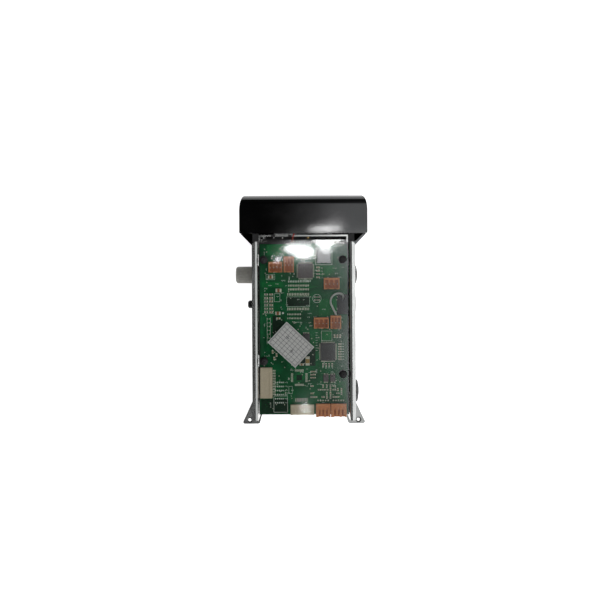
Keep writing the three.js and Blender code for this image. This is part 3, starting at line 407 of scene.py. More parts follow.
def knob():
    """Hand knob: a rounded barrel with shallow grip flutes."""
    rows = [(38.9, 0), (38.9, 5.1), *arc(40.7, 5.1, 1.8, 1.8, 180, 90, 6)[1:], (44, 6.9), (50, 6.9),
            *arc(52.5, 4.5, 2.4, 2.4, 90, 0, 8), (54.9, 2.2), (54.5, 1.9), (54.5, 0)]
    verts, faces = lathe_x(rows, 0, 0, 96)
    shaped = []
    for x, y, z in verts:
        reach = math.hypot(y, z)
        flute = 0.22 * max(0.0, math.cos(18 * math.atan2(z, y))) if reach > 5 and 41 < x < 53 else 0.0
        share = (reach - flute) / reach if reach else 0
        shaped.append((x, STATION_Y["front"] + y * share, SHAFT_Z + z * share))
    return mesh_of("feed_knob", shaped, faces, "grey_knob")


piece("feed_knob_grip", knob(), "front_drive", ["feed_knob"], crease=50)


def pulley(name, cap, flange):
    """Toothed pulley with a domed face, a hub ring and two flanges."""
    seat, inner = 6.4, -37.6
    dome = arc(cap + 1.8, 0, 1.8, flange, 178, 105, 10)[1:]
    rows = [(cap + 0.3, 0), (cap + 0.3, flange * 0.3), (cap, flange * 0.34), *dome,
            (-42.2, flange - 0.2), (-41.9, flange), (-41.6, flange), (-41.6, seat), (-38.4, seat),
            (-38.4, flange), (inner, flange), (inner, 0)]
    kit = Kit()
    kit.add(lathe_x(rows, STATION_Y[name], SHAFT_Z, 72), "black_plastic")
    for k in range(24):
        a = 2 * math.pi * k / 24
        verts, faces = box((-41.6, -38.4), (-0.45, 0.45), (6.2, 6.62))
        tooth = [(x, STATION_Y[name] + y * math.cos(a) - z * math.sin(a),
                  SHAFT_Z + y * math.sin(a) + z * math.cos(a)) for x, y, z in verts]
        kit.add((tooth, faces), "black_plastic")
    kit.build(f"{name}_pulley_wheel", f"{name}_drive", [f"{name}_drive_pulley"])


for name, cap, flange in (("front", -43.7, 7.7), ("middle", -42.2, 7.7), ("rear", -44.4, 9.2)):
    pulley(name, cap, flange)


def turned(name, rows, station, slot, body, nodes):
    """A piece turned about the axis of one of the shafts."""
    verts, faces = lathe_x(rows, STATION_Y[station], SHAFT_Z, 48)
    piece(name, mesh_of(name, verts, faces, slot), body, nodes)


def shaft_rows(low, high):
    """Profile of a plain shaft with chamfered ends."""
    return [(low, 0), (low, SHAFT_R - 0.3), (low + 0.3, SHAFT_R), (high - 0.3, SHAFT_R),
            (high, SHAFT_R - 0.3), (high, 0)]


stub = [(-40.6, 0), (-40.6, SHAFT_R), (38.4, SHAFT_R), (38.4, 3.2), (43.8, 3.2), (44.6, 2.8), (45.2, 1.9),
        (45.0, 1.2), (44.4, 0.6), (44.4, 0)]
turned("middle_shaft_turned", stub, "middle", "black_plastic", "middle_drive", ["middle_drive_shaft"])
turned("front_shaft_turned", shaft_rows(-42, 51.5), "front", "bright_steel", "front_drive",
       ["front_drive_shaft"])
turned("rear_shaft_turned", shaft_rows(-42.7, 38.6), "rear", "bright_steel", "rear_drive",
       ["rear_drive_shaft"])

half, tread, bore = ROLLER["half"], ROLLER["radius"], ROLLER["bore"]
grooves = [(-6.6 + i * 2 + shift, tread - depth)
           for i in range(7) for shift, depth in ((-0.35, 0), (0, 0.25), (0.35, 0))]
tyre = [(-half, bore), (-half, tread - 0.2), (0.02 - half, tread), *grooves, (half - 0.02, tread),
        (half, tread - 0.2), (half, bore), (-half, bore)]
for name in STATION_Y:
    turned(f"{name}_roller_rubber", tyre, name, "rubber", f"{name}_drive", [f"{name}_drive_roller"])

# ---------------------------------------------------------------- control board

rng = random.Random(5)
board = Kit()
Z = BOARD["top"]


def flat(x, y, slot, turn=0.0, lift=0.03):
    """A mark printed or plated on the board."""
    board.block(x, y, (Z - 0.02, Z + lift), slot, turn=turn)


def outline(x, y, width):
    """A printed frame between sorted limits."""
    (x0, x1), (y0, y1) = sorted(x), sorted(y)
    flat((x0, x1), (y0, y0 + width), "silk")
    flat((x0, x1), (y1 - width, y1), "silk")
    flat((x0, x0 + width), (y0 + width, y1 - width), "silk")
    flat((x1 - width, x1), (y0 + width, y1 - width), "silk")


def strokes(x, y, count, along="x", size=1.1, pitch=0.85):
    """A blank run of short printed strokes where a part's name would be."""
    for i in range(count):
        tall = size * rng.choice((0.45, 0.7, 1.0))
        if along == "x":
            flat((x + i * pitch, x + i * pitch + 0.32), (y, y + tall), "silk")
        else:
            flat((x, x + tall), (y + i * pitch, y + i * pitch + 0.32), "silk")


def row(x, y, count, pitch, size, slot="tin", along="x", lift=0.04):
    """A row of pads or leads, centred on a point."""
    for i in range(count):
        shift = (i - (count - 1) / 2) * pitch
        cx, cy = (x + shift, y) if along == "x" else (x, y + shift)
        flat((cx - size[0] / 2, cx + size[0] / 2), (cy - size[1] / 2, cy + size[1] / 2), slot, lift=lift)


def chip(x, y, height, sides, pitch, lead, slot="chip"):
    """Moulded chip with a dark dot near one corner, and gull-wing leads on some of its sides."""
    (x0, x1), (y0, y1) = sorted(x), sorted(y)
    top = Z + height
    board.block((x0, x1), (y0, y1), (Z + 0.15, top), slot, chamfer=0.25)
    dot = [(top - 0.02, 0), (top - 0.02, 0.45), (top + 0.02, 0.45), (top + 0.02, 0)]
    board.post(x1 - 1.3, y0 + 1.3, dot, "mask_dark", 12)
    edges = {"n": ("x", y0, -1), "s": ("x", y1, 1), "w": ("y", x0, -1), "e": ("y", x1, 1)}
    for side in sides:
        along, edge, out = edges[side]
        low, high = (x0, x1) if along == "x" else (y0, y1)
        count = int((high - low - 1.2) / pitch) + 1
        for i in range(count):
            at = (low + high) / 2 + (i - (count - 1) / 2) * pitch
            across = (at - pitch * 0.24, at + pitch * 0.24)
            for reach, span in ((lead, (Z, Z + 0.28)), (lead * 0.45, (Z + 0.2, Z + height * 0.6))):
                outward = (edge, edge + out * reach)
                dx, dy = (across, outward) if along == "x" else (outward, across)
                board.block(dx, dy, span, "tin")


def passive(x, y, along="x", length=2.0, width=1.2, height=0.7, slot="tan"):
    """Chip resistor or capacitor with two tinned ends, and its pads."""
    end = length * 0.24
    half, side = length / 2, width / 2
    for low, high, used, up in ((-half, -half + end, "tin", height), (half - end, half, "tin", height),
                                (-half + end, half - end, slot, height + 0.03)):
        span, across = (low, high), (-side, side)
        dx, dy = (span, across) if along == "x" else (across, span)
        board.block((x + dx[0], x + dx[1]), (y + dy[0], y + dy[1]), (Z, Z + up), used, chamfer=0.06)
    pad = 0.5
    dx, dy = ((half + pad, side + 0.15) if along == "x" else (side + 0.15, half + pad))
    flat((x - dx, x + dx), (y - dy, y + dy), "tin", lift=0.015)


PLUG_HEIGHT = 5.6


def plug(x, y, pins):
    """Shrouded header: a walled housing with two key slots on one side and a row of pins inside."""
    (x0, x1), (y0, y1) = sorted(x), sorted(y)
    slot, wall, floor, top = "orange_nylon", 0.9, Z + 1.4, Z + PLUG_HEIGHT
    # the floor inside the housing takes the darker orange, painted shade
    board.block((x0, x1), (y0, y1), (Z + 0.1, floor), "orange_painted_shade")
    board.block((x0, x1), (y0, y0 + wall * 1.6), (floor, top), slot, chamfer=0.15)
    for side in ((x0, x0 + wall), (x1 - wall, x1)):
        board.block(side, (y0 + wall, y1 - wall * 0.9), (floor, top), slot, chamfer=0.15)
    span = x1 - x0
    for low, high in ((0, 0.2), (0.36, 0.64), (0.8, 1)):
        board.block((x0 + span * low, x0 + span * high), (y1 - wall, y1), (floor, top), slot, chamfer=0.15)
    for low in (0.3, 0.6):
        board.block((x0 + span * low, x0 + span * (low + 0.1)), (y0 + wall, y0 + (y1 - y0) * 0.45),
                    (floor, top - 0.6), slot)
    for i in range(pins):
        px = x0 + span * (i + 0.5) / pins
        py = (y0 + y1) / 2 + 0.4
        board.block((px - 0.28, px + 0.28), (py - 0.28, py + 0.28), (floor, top - 0.9), "tin", chamfer=0.12)


def hole(x, y, radius):
    """Cutter for a round hole through the board and the sheet under it."""
    return lathe_z([(50, 0), (50, radius), (60, radius), (60, 0)], x, y, 24)


# the plate, with its rivet holes and the notch for the lead
plate = carved(
    "board_plate",
    box((-BOARD["half"], BOARD["half"]), (BOARD["front"], BOARD["rear"]), (BOARD["bottom"], Z)),
    "board_green",
    cuts=[*[hole(x, y, 1.95) for x, y in RIVETS.values()], box((-40, -26.3), (-12, 3.6), (50, 60))],
    bevel=0.15,
)
piece("board_plate", plate, "chassis", [])

# a thin black sheet under it, with holes for the rivets and the lead; its edge showing round the board is
# painted shade in the gap to the frames
underlay = carved(
    "board_underlay", box((-35.4, 35.4), (-53.4, 82.4), (55.72, 55.84)), "black_plastic",
    cuts=[*[hole(x, y, 2.2) for x, y in RIVETS.values()], hole(-31.2, -9.6, 1.6)],
)
piece("board_underlay", underlay, "chassis")

# copper under the mask: pours and dark patches, then runs of track between the parts
flat((13.2, 29), (-51.2, -42.8), "copper_green", lift=0.01)
flat((-24.5, -11.5), (-35, -26.5), "copper_green", lift=0.01)
flat((-21.8, -14.2), (16.8, 24.2), "copper_green", lift=0.01)
flat((-25.8, -12), (-8.5, 5.5), "copper_green", lift=0.01)
flat((16, 33), (-22, -18), "copper_green", lift=0.01)
flat((-33, -26), (56.5, 72), "copper_green", lift=0.01)
flat((-9, 8), (31, 44), "mask_dark", lift=0.01)
flat((12.5, 34), (70, 81.5), "mask_dark", lift=0.01)
flat((15, 25), (4.5, 24), "mask_dark", lift=0.01)


def track(x, y, steps, width=0.28):
    """A track that leaves a point along runs given as (dx, dy)."""
    for dx, dy in steps:
        long = math.hypot(dx, dy)
        lean = math.degrees(math.atan2(dy, dx))
        cx, cy = x + dx / 2, y + dy / 2
        flat((cx - long / 2 - width / 2, cx + long / 2 + width / 2), (cy - width / 2, cy + width / 2),
             "copper_green", lean, 0.012)
        x, y = x + dx, y + dy


def strew_rings(count, inner, outer, slot):
    """Plated holes, as flat rings in random places on the board."""
    low, high = Z - 0.02, Z + 0.035
    for x, y in [(rng.uniform(-31, 32), rng.uniform(-50, 80)) for _ in range(count)]:
        board.post(x, y, [(low, inner), (low, outer), (high, outer), (high, inner)], slot, 8)


for i in range(6):
    track(31.6 - i * 0.8, -27 + i * 0.9, [(0, 30 - i * 1.6), (-3, 3), (0, 26)])
    track(23.5 - i * 0.8, -13 + i, [(0, 14), (-4 + i * 0.3, 4 - i * 0.3), (-6, 0)])
    track(2.8 - i * 1.6, -23, [(0, 3.4 - i * 0.3), (-2.6, 2.6), (-4.5, 0)])
    track(11.4 - i * 0.8, 62 + i * 0.3, [(0, 5), (-2, 2), (0, 3.2)])
    track(-5.8 - i * 0.75, 19 + i * 0.8, [(0, 9), (-2.2, 2.2), (-3.2 + i * 0.7, 0)])
    track(-9.8 - i * 1.1, 41.8, [(0, 2.6 + i * 0.5), (-1.6, 1.6), (0, 4)])
    track(9 - i * 1.3, 31, [(0, 7), (2, 2), (0, 6)])
strew_rings(150, 0.16, 0.36, "copper_green")

# plugs
plug((16.7, 27.5), (-37.7, -29.6), 4)
plug((7.6, 15.6), (-41.8, -29.6), 3)
plug((-15.9, -28.1), (-25, -16.2), 4)
plug((-7.9, -19.5), (6, 14.6), 4)
plug((-20.9, -29.2), (4.6, 15), 3)

# driver, processor, inductor and small chips
chip((-7.3, 4.3), (-36.4, -25), 1.6, "nswe", 0.8, 1.1)
row(-1.5, -22.8, 8, 1.1, (0.55, 1.5), "silk")
chip((-24.7, -13.1), (26.2, 40), 1.6, "nswe", 0.65, 1.1, "chip_grey")
cx, cy = -16, -42.1
board.block((cx - 5.5, cx + 5.5), (cy - 5.5, cy + 5.5), (Z, Z + 0.8), "ink", chamfer=0.2)
board.post(cx, cy, [(Z, 0), (Z, 5.3), (Z + 4.2, 5.3), (Z + 4.6, 4.9), (Z + 4.6, 0)], "ferrite", 40)
for sx in (-1, 1):
    for sy in (-1, 1):
        board.block((cx + sx * 2.2, cx + sx * 5.4), (cy + sy * 2.2, cy + sy * 5.4), (Z + 0.3, Z + 4.1),
                    "ferrite", chamfer=0.9)
for side in (-1, 1):
    flat((cx + side * 6.2, cx + side * 6.6), (cy - 6.5, cy + 6.5), "silk")
for side in (-1, 1):
    flat((cx - 6.6, cx + 6.6), (cy + side * 6.4, cy + side * 6.8), "silk")
chip((0.8, -4.6), (18.6, 25.4), 1.3, "ns", 1.27, 1.0, "chip_grey")
for cx in (-17.2, -22.6):
    chip((cx - 2, cx + 2), (51, 56.6), 1.4, "ns", 1.27, 1.0)

# empty footprints: a 28-lead small outline, rows of resistor pads and a quad flat pack
flat((-4.3, 13), (-10, -3), "mask_dark", lift=0.012)
outline((-4.8, 13.5), (-10.4, -2.6), 0.22)
row(4.35, -12.3, 14, 1.27, (0.62, 2.1))
row(4.35, -0.8, 14, 1.27, (0.62, 2.1))
for y in (-22.4, -19.2, -16.2):
    row(4, y, 13, 1.3, (0.7, 1.5), "silk" if y < -20 else "tin")
for y in (3.4, 6.6):
    row(7.6, y, 9, 1.25, (0.6, 1.3))
strokes(1.5, 9.4, 8)
cx, cy = 3.8, 53.3
for side in (-1, 1):
    row(cx, cy + side * 5.7, 9, 0.8, (0.42, 1.7), along="x")
    row(cx + side * 5.7, cy, 9, 0.8, (1.7, 0.42), along="y")
flat((cx - 3.2, cx + 3.2), (cy - 3.2, cy + 3.2), "copper_green", 45, 0.014)
flat((cx - 2.2, cx + 2.2), (cy - 2.2, cy + 2.2), "mask_dark", 0, 0.02)
for sx in (-1, 1):
    for sy in (-1, 1):
        flat((cx + sx * 5.6, cx + sx * 6.8), (cy + sy * 6.6, cy + sy * 6.85), "silk")

# columns of pads and printed strokes down the knob side
for x in (29.6, 25.6):
    for y in (-12.4, -9.6, -6.8, -4, -1.2, 1.6):
        passive(x, y, "x", 2.0, 1.0, 0.5, "chip" if x > 28 else "tan")
        flat((x - 1.8, x + 1.8), (y + 1.1, y + 1.3), "silk")
for x in (28.8, 26.2):
    flat((x, x + 0.25), (6, 27), "silk")
for y in range(7, 27, 3):
    row(27.6, y, 2, 1.3, (0.6, 0.7))
for y in (57, 60.2, 63.4, 66.6, 69.8, 73):
    row(19.6, y, 5, 1.5, (0.8, 1.1), "silk")
    strokes(13.2, y - 0.4, 3)
outline((13, 24), (67.6, 80.6), 0.25)
outline((9.2, 12.2), (60, 66), 0.25)
strokes(26, 73, 5, "y")
strokes(29, -33, 3, "y")

# small parts
passive(26, -26, "x", 3.4, 2.2, 1.2, "tantalum")
outline((22.6, 29.6), (-28.2, -23.8), 0.22)
passive(19.8, -15.4, "x", 3.6, 2.6, 1.3, "tantalum")
outline((18.6, 23.2), (-13, -6.4), 0.25)
passive(20.4, 2.6, "x", 3.4, 2.4, 1.3, "tantalum")
board.post(16.4, 2.4, [(Z, 0), (Z, 0.9), (Z + 0.7, 0.9), (Z + 1.0, 0.4), (Z + 1.0, 0)], "silk", 16)
passive(20, 6.6, "x", 2.2, 1.2, 0.6, "coil_tape")
for x, y in ((24.6, 33), (21.6, 35.4), (23.4, 38.2), (19.8, 32.4)):
    passive(x, y, "y", 1.8, 1.1, 0.6, "coil_tape")
passive(-2.8, 40.2, "y", 6.2, 3, 2.0, "coil_tape")
passive(1.8, 43, "x", 2.6, 1.4, 0.8, "tan")
for x in (-6.2, -8):
    for y in (48.6, 51, 53.4):
        passive(x, y, "x", 1.4, 0.8, 0.5, "tan")
for y, slot in ((-33.4, "tan"), (-30.8, "tan"), (-28.2, "chip"), (-25.6, "tan")):
    passive(-11.4, y, "x", 1.8, 1.0, 0.6, slot)
    strokes(-14.8, y, 2)

# four small parts inside a printed ring
cx, cy = -10.4, -8.9
for k in range(16):
    a = 2 * math.pi * k / 16
    px, py = cx + 3.3 * math.cos(a), cy + 3.3 * math.sin(a)
    flat((px - 0.65, px + 0.65), (py - 0.14, py + 0.14), "silk", math.degrees(a) + 90)
for dx, dy in ((-1.3, -1.2), (1.3, -1.2), (-1.3, 1.2), (1.3, 1.2)):
    px, py = cx + dx, cy + dy
    board.block((px - 0.8, px + 0.8), (py - 0.6, py + 0.6), (Z, Z + 0.7), "tin", chamfer=0.1)
    board.block((px - 0.35, px + 0.35), (py - 0.65, py + 0.65), (Z, Z + 0.74), "chip")

# round the processor
outline((-22.2, -13.8), (16.6, 24.4), 0.22)
for x in (-24.2, -26.4, -28.6):
    passive(x, 20.8, "y", 1.8, 1.0, 0.6, "tan")
for y in range(27, 41, 2):
    passive(-28.3, y, "x", 1.6, 0.8, 0.5, "tan")
    flat((-31.6, -30.2), (y - 0.2, y + 0.2), "silk")
for y in range(18, 34, 2):
    flat((-10.8, -9.2), (y - 0.15, y + 0.15), "silk")
for x in (-15, -17.4, -19.8, -22.2):
    passive(x, 43.4, "y", 1.8, 1.0, 0.6, "chip")
    strokes(x - 0.4, 45.2, 2)

# the cluster before the tail headers, then stray strokes, dots and the headers' own leads
for i in range(9):
    for j in range(4):
        if rng.random() < 0.72:
            along = rng.choice("xy")
            passive(-6.2 - i * 2.9, 60 + j * 2.9, along, 1.5, 0.9, 0.5, rng.choice(("tan", "chip", "chip")))
for x, y, count in ((-6, 57.8, 4), (-14, 58.2, 5), (-24, 58.4, 4), (-30.5, 44, 2), (22, 28.4, 4),
                    (8.6, 47, 3), (30, 33, 2), (-6.6, 12, 3), (-6, 2.4, 4), (14.6, -23.6, 4),
                    (20, -21, 3), (28.8, -17.4, 3), (-27, -29, 3), (-26, -33, 4)):
    strokes(x, y, count)
for x, y in [(rng.uniform(-32, 31), rng.uniform(-50, 79)) for _ in range(110)]:
    strokes(x, y, rng.choice((2, 3, 4)), rng.choice("xxy"), 0.9, 0.7)
strew_rings(160, 0.18, 0.42, "tin")
row(2.2, 70.8, 8, 1.27, (0.5, 2.6), "tin", lift=0.5)
row(23.6, 57, 16, 1.27, (2.4, 0.5), "tin", along="y", lift=0.5)
row(-14.9, 71.4, 5, 2.0, (1.1, 1.1), "tin")
row(-27, 71.4, 5, 2.0, (1.1, 1.1), "tin")
board.build("board_parts", "chassis", ["main_board"])


def header(name, x, y, height, pins, slot, node, mouth):
    """Header with its mouth towards +Y, under a ribbed cover, or towards +X, under a plain one."""
    kit = Kit()
    (x0, x1), (y0, y1) = sorted(x), sorted(y)
    base = Z + 0.3
    top = base + height
    # an orange header's base, seen as the floor between its walls, takes the darker orange: painted shade
    kit.block((x0, x1), (y0, y1), (base, base + 0.9), "orange_painted_shade" if slot == "orange_nylon" else slot)
    if mouth == "y":
        kit.block((x0, x1), (y0, y0 + 2.6), (base + 0.9, top), slot, chamfer=0.25)
        for side in ((x0, x0 + 1), (x1 - 1, x1)):
            kit.block(side, (y0 + 2.6, y1), (base + 0.9, top), slot, chamfer=0.15)
        span = x1 - x0
        for i in range(pins):
            reach = 0.1 if i % 2 else 1.3
            kit.block((x0 + span * (i + 0.22) / pins, x0 + span * (i + 0.78) / pins),
                      (y0 + 2.6, y1 - reach), (top - 1, top), slot, chamfer=0.12)
        kit.block((x0 + 1, x1 - 1), (y0 + 2.6, y0 + 4.6), (top - 1, top - 0.3), slot)
        for i in range(pins):
            px = x0 + span * (i + 0.5) / pins
            kit.block((px - 0.3, px + 0.3), (y0 + 2.6, y1 - 1), (base + 2.2, base + 2.8), "tin")
    else:
        kit.block((x0, x0 + 2.4), (y0, y1), (base + 0.9, top), slot, chamfer=0.25)
        for side in ((y0, y0 + 1), (y1 - 1, y1)):
            kit.block((x0 + 2.4, x1), side, (base + 0.9, top), slot, chamfer=0.15)
        kit.block((x0 + 2.4, x1), (y0 + 1, y1 - 1), (top - 0.9, top), slot, chamfer=0.15)
        for i in range(pins):
            py = y0 + 1.6 + (y1 - y0 - 3.2) * i / (pins - 1)
            kit.block((x0 + 2.4, x1 - 1), (py - 0.25, py + 0.25), (base + 2.6, base + 3.1), "tin")
    kit.build(name, "chassis", [node])


header("sensor_header_shell", (24.9, 34.3), (45, 69), 6.2, 15, "cream_nylon", "sensor_header", "x")
header("host_header_shell", (-7.7, 10.7), (74.3, 82.4), 5.2, 8, "cream_nylon", "host_header", "y")
header("power_header_shell", (-20.5, -9.2), (73.6, 84), 5.6, 4, "orange_nylon", "power_header", "y")
header("aux_header_shell", (-33.1, -21), (73.6, 84), 5.6, 4, "orange_nylon", "aux_header", "y")

# ---------------------------------------------------------------- rivets, film, label and leads

# each rivet from its tip up: foot, collar on the board, post, neck through the film, and head
rivet_rows = [(52.4, 0), (52.4, 1.0), (53.4, 1.6), (57.9, 1.6), (57.9, 3.1), (58.7, 3.1), (59.2, 2.6),
              (60, 2.1), (64.7, 2.1), (64.7, 1.5), (65.7, 1.5), (65.7, 3.0), (65.95, 3.0), (66.4, 2.6),
              (66.7, 1.8), (66.7, 1.0), (66.3, 0.9), (66.3, 0)]
for name, (x, y) in RIVETS.items():
    kit = Kit()
    kit.post(x, y, rivet_rows, "black_plastic", 40)
    kit.build(f"rivet_{name}", "chassis", [f"board_rivet_{name}"])


def film():
    """Thin clear sheet with a slight wave."""
    across, along = 60, 116
    verts = []
    for j in range(along + 1):
        for i in range(across + 1):
            x = FILM["low_x"] + FILM["width"] * i / across
            y = FILM["front"] + FILM["length"] * j / along
            wave = 0.03 * math.sin(x / 17 + y / 23) + 0.02 * math.sin(y / 15 - x / 21)
            verts.append((x, y, FILM["top"] - 0.2 + wave))
    faces = []
    for j in range(along):
        for i in range(across):
            a = j * (across + 1) + i
            faces.append((a, a + 1, a + across + 2, a + across + 1))
    return mesh_of("film", verts, faces, "clear_film")


film_sheet = piece("film_sheet", film(), "chassis", ["insulating_film"], crease=80)

label = Kit()
label_at = (Matrix.Translation((10.2, 27.1, FILM["top"] + 0.06))
            @ Matrix.Rotation(math.radians(-43), 4, "Z"))
HALF_LONG, HALF_SHORT = 14.7, 11
LONG_CELLS, SHORT_CELLS = 8, 7
INNER = 1.5  # from the label's edge to the outer line of its grid


def on_label(x, y, z, slot):
    """A box placed in the label's own turned frame."""
    verts, faces = box(x, y, z)
    label.add(([tuple(label_at @ Vector(v)) for v in verts], faces), slot)


def ruled(along, across, axis, half=0.13):
    """A ruled line with the given run, at a place across it."""
    wide = (across - half, across + half)
    x, y = (along, wide) if axis == "x" else (wide, along)
    on_label(x, y, (0.1, 0.15), "ink")


on_label((-HALF_LONG, HALF_LONG), (-HALF_SHORT, HALF_SHORT), (0, 0.12), "label_paper")
for inset in (0.9, INNER):
    long, short = HALF_LONG - inset, HALF_SHORT - inset
    for side in (-1, 1):
        ruled((-long, long), side * short, "x", 0.11)
        ruled((-short, short), side * long, "y", 0.11)
long, short = HALF_LONG - INNER, HALF_SHORT - INNER
for i in range(1, SHORT_CELLS):
    ruled((-long, long), -short + 2 * short * i / SHORT_CELLS, "x")
for i in range(1, LONG_CELLS):
    ruled((-short, short), -long + 2 * long * i / LONG_CELLS, "y")
for x, y in ((-4, 3.2), (5.6, -2.4)):
    on_label((x - 1.6, x + 1.6), (y - 0.22, y + 0.22), (0.1, 0.16), "ink")
    on_label((x - 0.2, x + 0.2), (y - 1.5, y + 1.5), (0.1, 0.16), "ink")
label.build("label_sheet", "chassis", ["inspection_label"])


def lead(name, path, radius, slot, sides, nodes=(), shown_slot=None):
    """A round lead along a smooth line through its path's points."""
    verts, faces = tube(spline(path), radius, sides)
    piece(name, mesh_of(name, verts, faces, slot), "chassis", nodes, crease=80)


# the board's own lead, out of its plug, round its loop and down through the notch
lead("board_lead",
     [(-25.4, 3.9, 60.6), (-24.2, 1.4, 62.2), (-22.6, -1.8, 63), (-21.2, -5, 63.2), (-21.2, -8.2, 63),
      (-23, -11.2, 62.8), (-26.6, -12.9, 62.4), (-30, -12.4, 60.4), (-31.2, -10.4, 57), (-31.2, -8.6, 52.8)],
     0.8, "grey_cable", 16, ["board_cable"], "grey_cable")

# the slot light's lead, then its two clips and the screws of the front stay
lead("slot_light_lead",
     [(4.5, -84.5, 46.5), (4.5, -80, 50), (4.6, -73, 58), (5.4, -66, 62.8), (6.6, -61.5, 63.7),
      (7.8, -58.4, 63.8), (8.4, -56.6, 62), (8.6, -55.6, 58), (8.6, -54.6, 54.6), (8.4, -51, 53.4)],
     0.45, "red_wire", 10)
cavity = Kit()
cavity.block((9.2, 12.1), (-59.1, -57.3), (62.3, 63.6), "black_plastic", chamfer=0.3)
cavity.block((21.9, 25.1), (-59.1, -57.3), (62.3, 63.6), "black_plastic", chamfer=0.3)
for x, slot in ((31.3, "bright_steel"), (23.2, "bright_steel"), (16.4, "bright_steel"), (-3.7, "gold")):
    cavity.block((x - 0.55, x + 0.55), (-57.3, -56.1), (59.4, 60.6), slot, chamfer=0.25)
cavity.build("front_stay_fixings", "chassis")

# ---------------------------------------------------------------- shutter spring

SPRING = {"x": 15, "y": -68, "low": 44.1, "high": 49.9, "radius": 3.5, "wire": 0.3, "turns": 4}
PER_TURN = 24
coil_path = []
for i in range(SPRING["turns"] * PER_TURN + 1):
    a = 2 * math.pi * i / PER_TURN
    rise = (SPRING["high"] - SPRING["low"]) * i / (SPRING["turns"] * PER_TURN)
    coil_path.append((SPRING["x"] + SPRING["radius"] * math.cos(a),
                      SPRING["y"] + SPRING["radius"] * math.sin(a), SPRING["low"] + rise))
coil_verts, coil_faces = tube(coil_path, SPRING["wire"], 8)
coil = piece("shutter_spring_coil", mesh_of("coil", coil_verts, coil_faces, "bright_steel"), "chassis",
             ["shutter_spring"], crease=80)
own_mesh(coil)

# ---------------------------------------------------------------- stage, lights and camera


def lamp(name, at, target, size, power):
    """A rectangular lamp aimed at a point. Places and sizes are in metres, power in watts."""
    data = bpy.data.lights.new(name, "AREA")
    data.shape, data.size, data.size_y = "RECTANGLE", size[0], size[1]
    data.energy = power
    obj = bpy.data.objects.new(name, data)
    obj.location = at
    obj.rotation_mode = "QUATERNION"
    obj.rotation_quaternion = (Vector(target) - Vector(at)).to_track_quat("-Z", "Y")
    bpy.context.scene.collection.objects.link(obj)
    return obj


def sheet(name, points, faces, finish):
    """A flat piece of the stage, with points in metres."""
    obj = bpy.data.objects.new(name, bpy.data.meshes.new(name))
    obj.data.from_pydata(points, [], faces)
    obj.data.materials.append(finish)
    bpy.context.scene.collection.objects.link(obj)


pale = material("pale_floor", (0.9, 0.9, 0.89), 0.8, mottle=0.01, grain=3, scuff=0.05, bump=0.0)
glow = pale.node_tree.nodes["Principled BSDF"].inputs
glow["Emission Color"].default_value = (1, 1, 1, 1)
glow["Emission Strength"].default_value = 0.95
FLOOR_HALF = 30
floor_points = [(x * FLOOR_HALF, y * FLOOR_HALF, -0.0002) for x, y in ((-1, -1), (1, -1), (1, 1), (-1, 1))]
sheet("floor", floor_points, [(0, 1, 2, 3)], pale)

# a painted shadow under the reader: a dark patch, so that the glowing floor doesn't shine up through its
# openings
shade_plan = [(-36, 76), (-36, -58), (-40, -58), (-40, -76), (40, -76), (40, -58), (36, -58), (36, 76)]
sheet("shade_under_the_reader", [(x * MM, y * MM, -0.0001) for x, y in shade_plan],
      [(0, 1, 6, 7), (1, 2, 3, 4, 5, 6)],
      material("shade", (0.02, 0.02, 0.02), 0.9, mottle=0.1, grain=3, scuff=0.05, bump=0.0))

# lamps straight above that light only the film and the nose, which mirror them as bright patches
glossy = bpy.data.collections.new("glossy")
for obj in (nose_shell, film_sheet):
    glossy.objects.link(obj)
LAMP_HEIGHT = 1.5
for name, at, size, lean, radiance, shape in (
    ("film_glare_a", (0.0038, -0.1065), (0.054, 0.0136), -14, 32, "ELLIPSE"),
    ("film_glare_b", (-0.0074, -0.0995), (0.030, 0.017), -10, 32, "ELLIPSE"),
    ("film_glare_c", (-0.0515, -0.1235), (0.058, 0.006), 0, 32, "RECTANGLE"),
    ("film_glare_d", (-0.0471, -0.116), (0.034, 0.013), 0, 26, "ELLIPSE"),
    ("film_glare_f", (-0.0455, -0.109), (0.016, 0.013), 0, 20, "ELLIPSE"),
    ("film_glare_e", (0.0405, -0.0918), (0.013, 0.006), 20, 30, "ELLIPSE"),
    ("film_glare_g", (-0.0007, 0.2127), (0.005, 0.010), 0, 60, "ELLIPSE"),
    ("nose_sheen_a", (-0.050, -0.152), (0.070, 0.012), 3, 16, "ELLIPSE"),
    ("nose_sheen_b", (-0.060, -0.164), (0.060, 0.014), 5, 1.2, "ELLIPSE"),
):
    spot = lamp(name, (*at, LAMP_HEIGHT), (*at, 0), size, radiance * math.pi * size[0] * size[1])
    spot.rotation_quaternion = Quaternion((0, 0, 1), math.radians(lean))
    spot.data.shape = shape
    spot.light_linking.receiver_collection = glossy

# a broad soft lamp that no surface mirrors
fill = lamp("fill", (0.1, 0.1, 1.7), (0, 0, 0), (1.2, 1.2), 3.8)
fill.visible_glossy = False


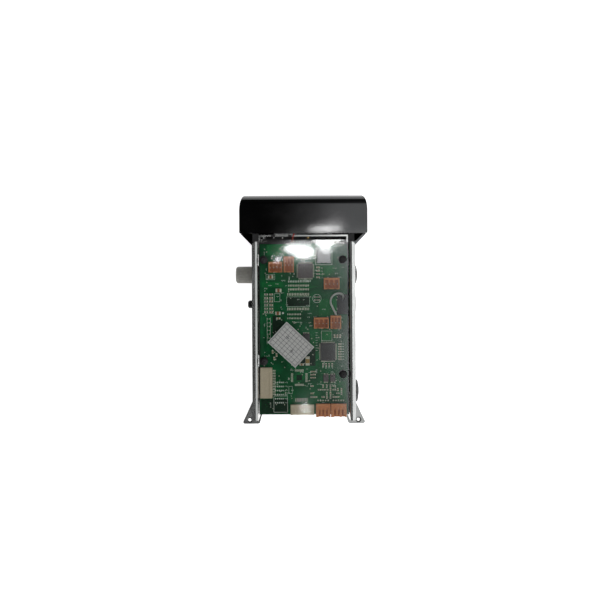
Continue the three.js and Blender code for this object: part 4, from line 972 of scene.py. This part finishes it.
def studio():
    """World light, as ramps over the direction it comes from."""
    world = bpy.data.worlds.new("studio")
    world.use_nodes = True
    nodes, links = world.node_tree.nodes, world.node_tree.links
    split = nodes.new("ShaderNodeSeparateXYZ")
    links.new(nodes.new("ShaderNodeTexCoord").outputs["Generated"], split.inputs["Vector"])

    def ramp(axis, low, high, at_low, at_high):
        """Strength that goes from one value to another as the direction's axis goes from low to high."""
        node = nodes.new("ShaderNodeMapRange")
        node.interpolation_type = "SMOOTHSTEP"
        for socket, value in zip(("From Min", "From Max", "To Min", "To Max"), (low, high, at_low, at_high)):
            node.inputs[socket].default_value = value
        links.new(split.outputs[axis], node.inputs["Value"])
        return node.outputs["Result"]

    def combine(operation, a, b):
        node = nodes.new("ShaderNodeMath")
        node.operation = operation
        links.new(a, node.inputs[0])
        links.new(b, node.inputs[1])
        return node.outputs["Value"]

    # a tent round the sides, dark overhead and brighter towards the belt side
    tent = combine("MULTIPLY", ramp("Z", 0.7, 0.95, 1, 0), ramp("X", -0.5, 0.2, 0.75, 0.16))
    tent = combine("MULTIPLY", tent, ramp("Y", -0.6, -0.1, 0.12, 1))
    # a strong band just off the zenith on the belt side
    key = combine("MULTIPLY", ramp("X", -0.056, -0.029, 2.3, 0), ramp("X", -0.3, -0.13, 0.2, 1))
    key = combine("MULTIPLY", key, ramp("Y", -0.064, -0.054, 0.05, 1))
    key = combine("MULTIPLY", key, ramp("Z", 0.5, 0.7, 0, 1))
    # a faint haze overhead, with a denser veil towards the front of the belt side
    haze = combine("MULTIPLY", ramp("Z", 0.9, 0.97, 0, 1), ramp("X", -0.012, 0.014, 0.2, 0.02))
    veil = combine("MULTIPLY", ramp("X", -0.036, -0.01, 1, 0), ramp("Y", -0.034, 0.0, 1.0, 0.05))
    haze = combine("ADD", haze, combine("MULTIPLY", veil, ramp("Z", 0.985, 0.995, 0, 1)))
    # what the top of the nose mirrors
    nose = combine("MULTIPLY", ramp("Y", -0.060, -0.054, 1, 0), ramp("X", -0.03, 0.014, 0.48, 0))
    nose = combine("MULTIPLY", nose, ramp("Y", -0.5, -0.1, 0.1, 1))
    total = combine("ADD", combine("ADD", tent, key), combine("ADD", haze, nose))
    links.new(total, nodes["Background"].inputs["Strength"])
    nodes["Background"].inputs["Color"].default_value = (0.96, 0.98, 1, 1)
    return world


bpy.context.scene.world = studio()

camera = bpy.data.objects.new("camera", bpy.data.cameras.new("camera"))
camera.data.lens = 68.54
camera.data.sensor_width = 36
camera.location = (0.0029, -0.0078, 0.957)
camera.rotation_euler = (0, 0, math.radians(180 - 0.3))
bpy.context.scene.collection.objects.link(camera)
bpy.context.scene.camera = camera
bpy.context.scene.view_settings.view_transform = "Standard"
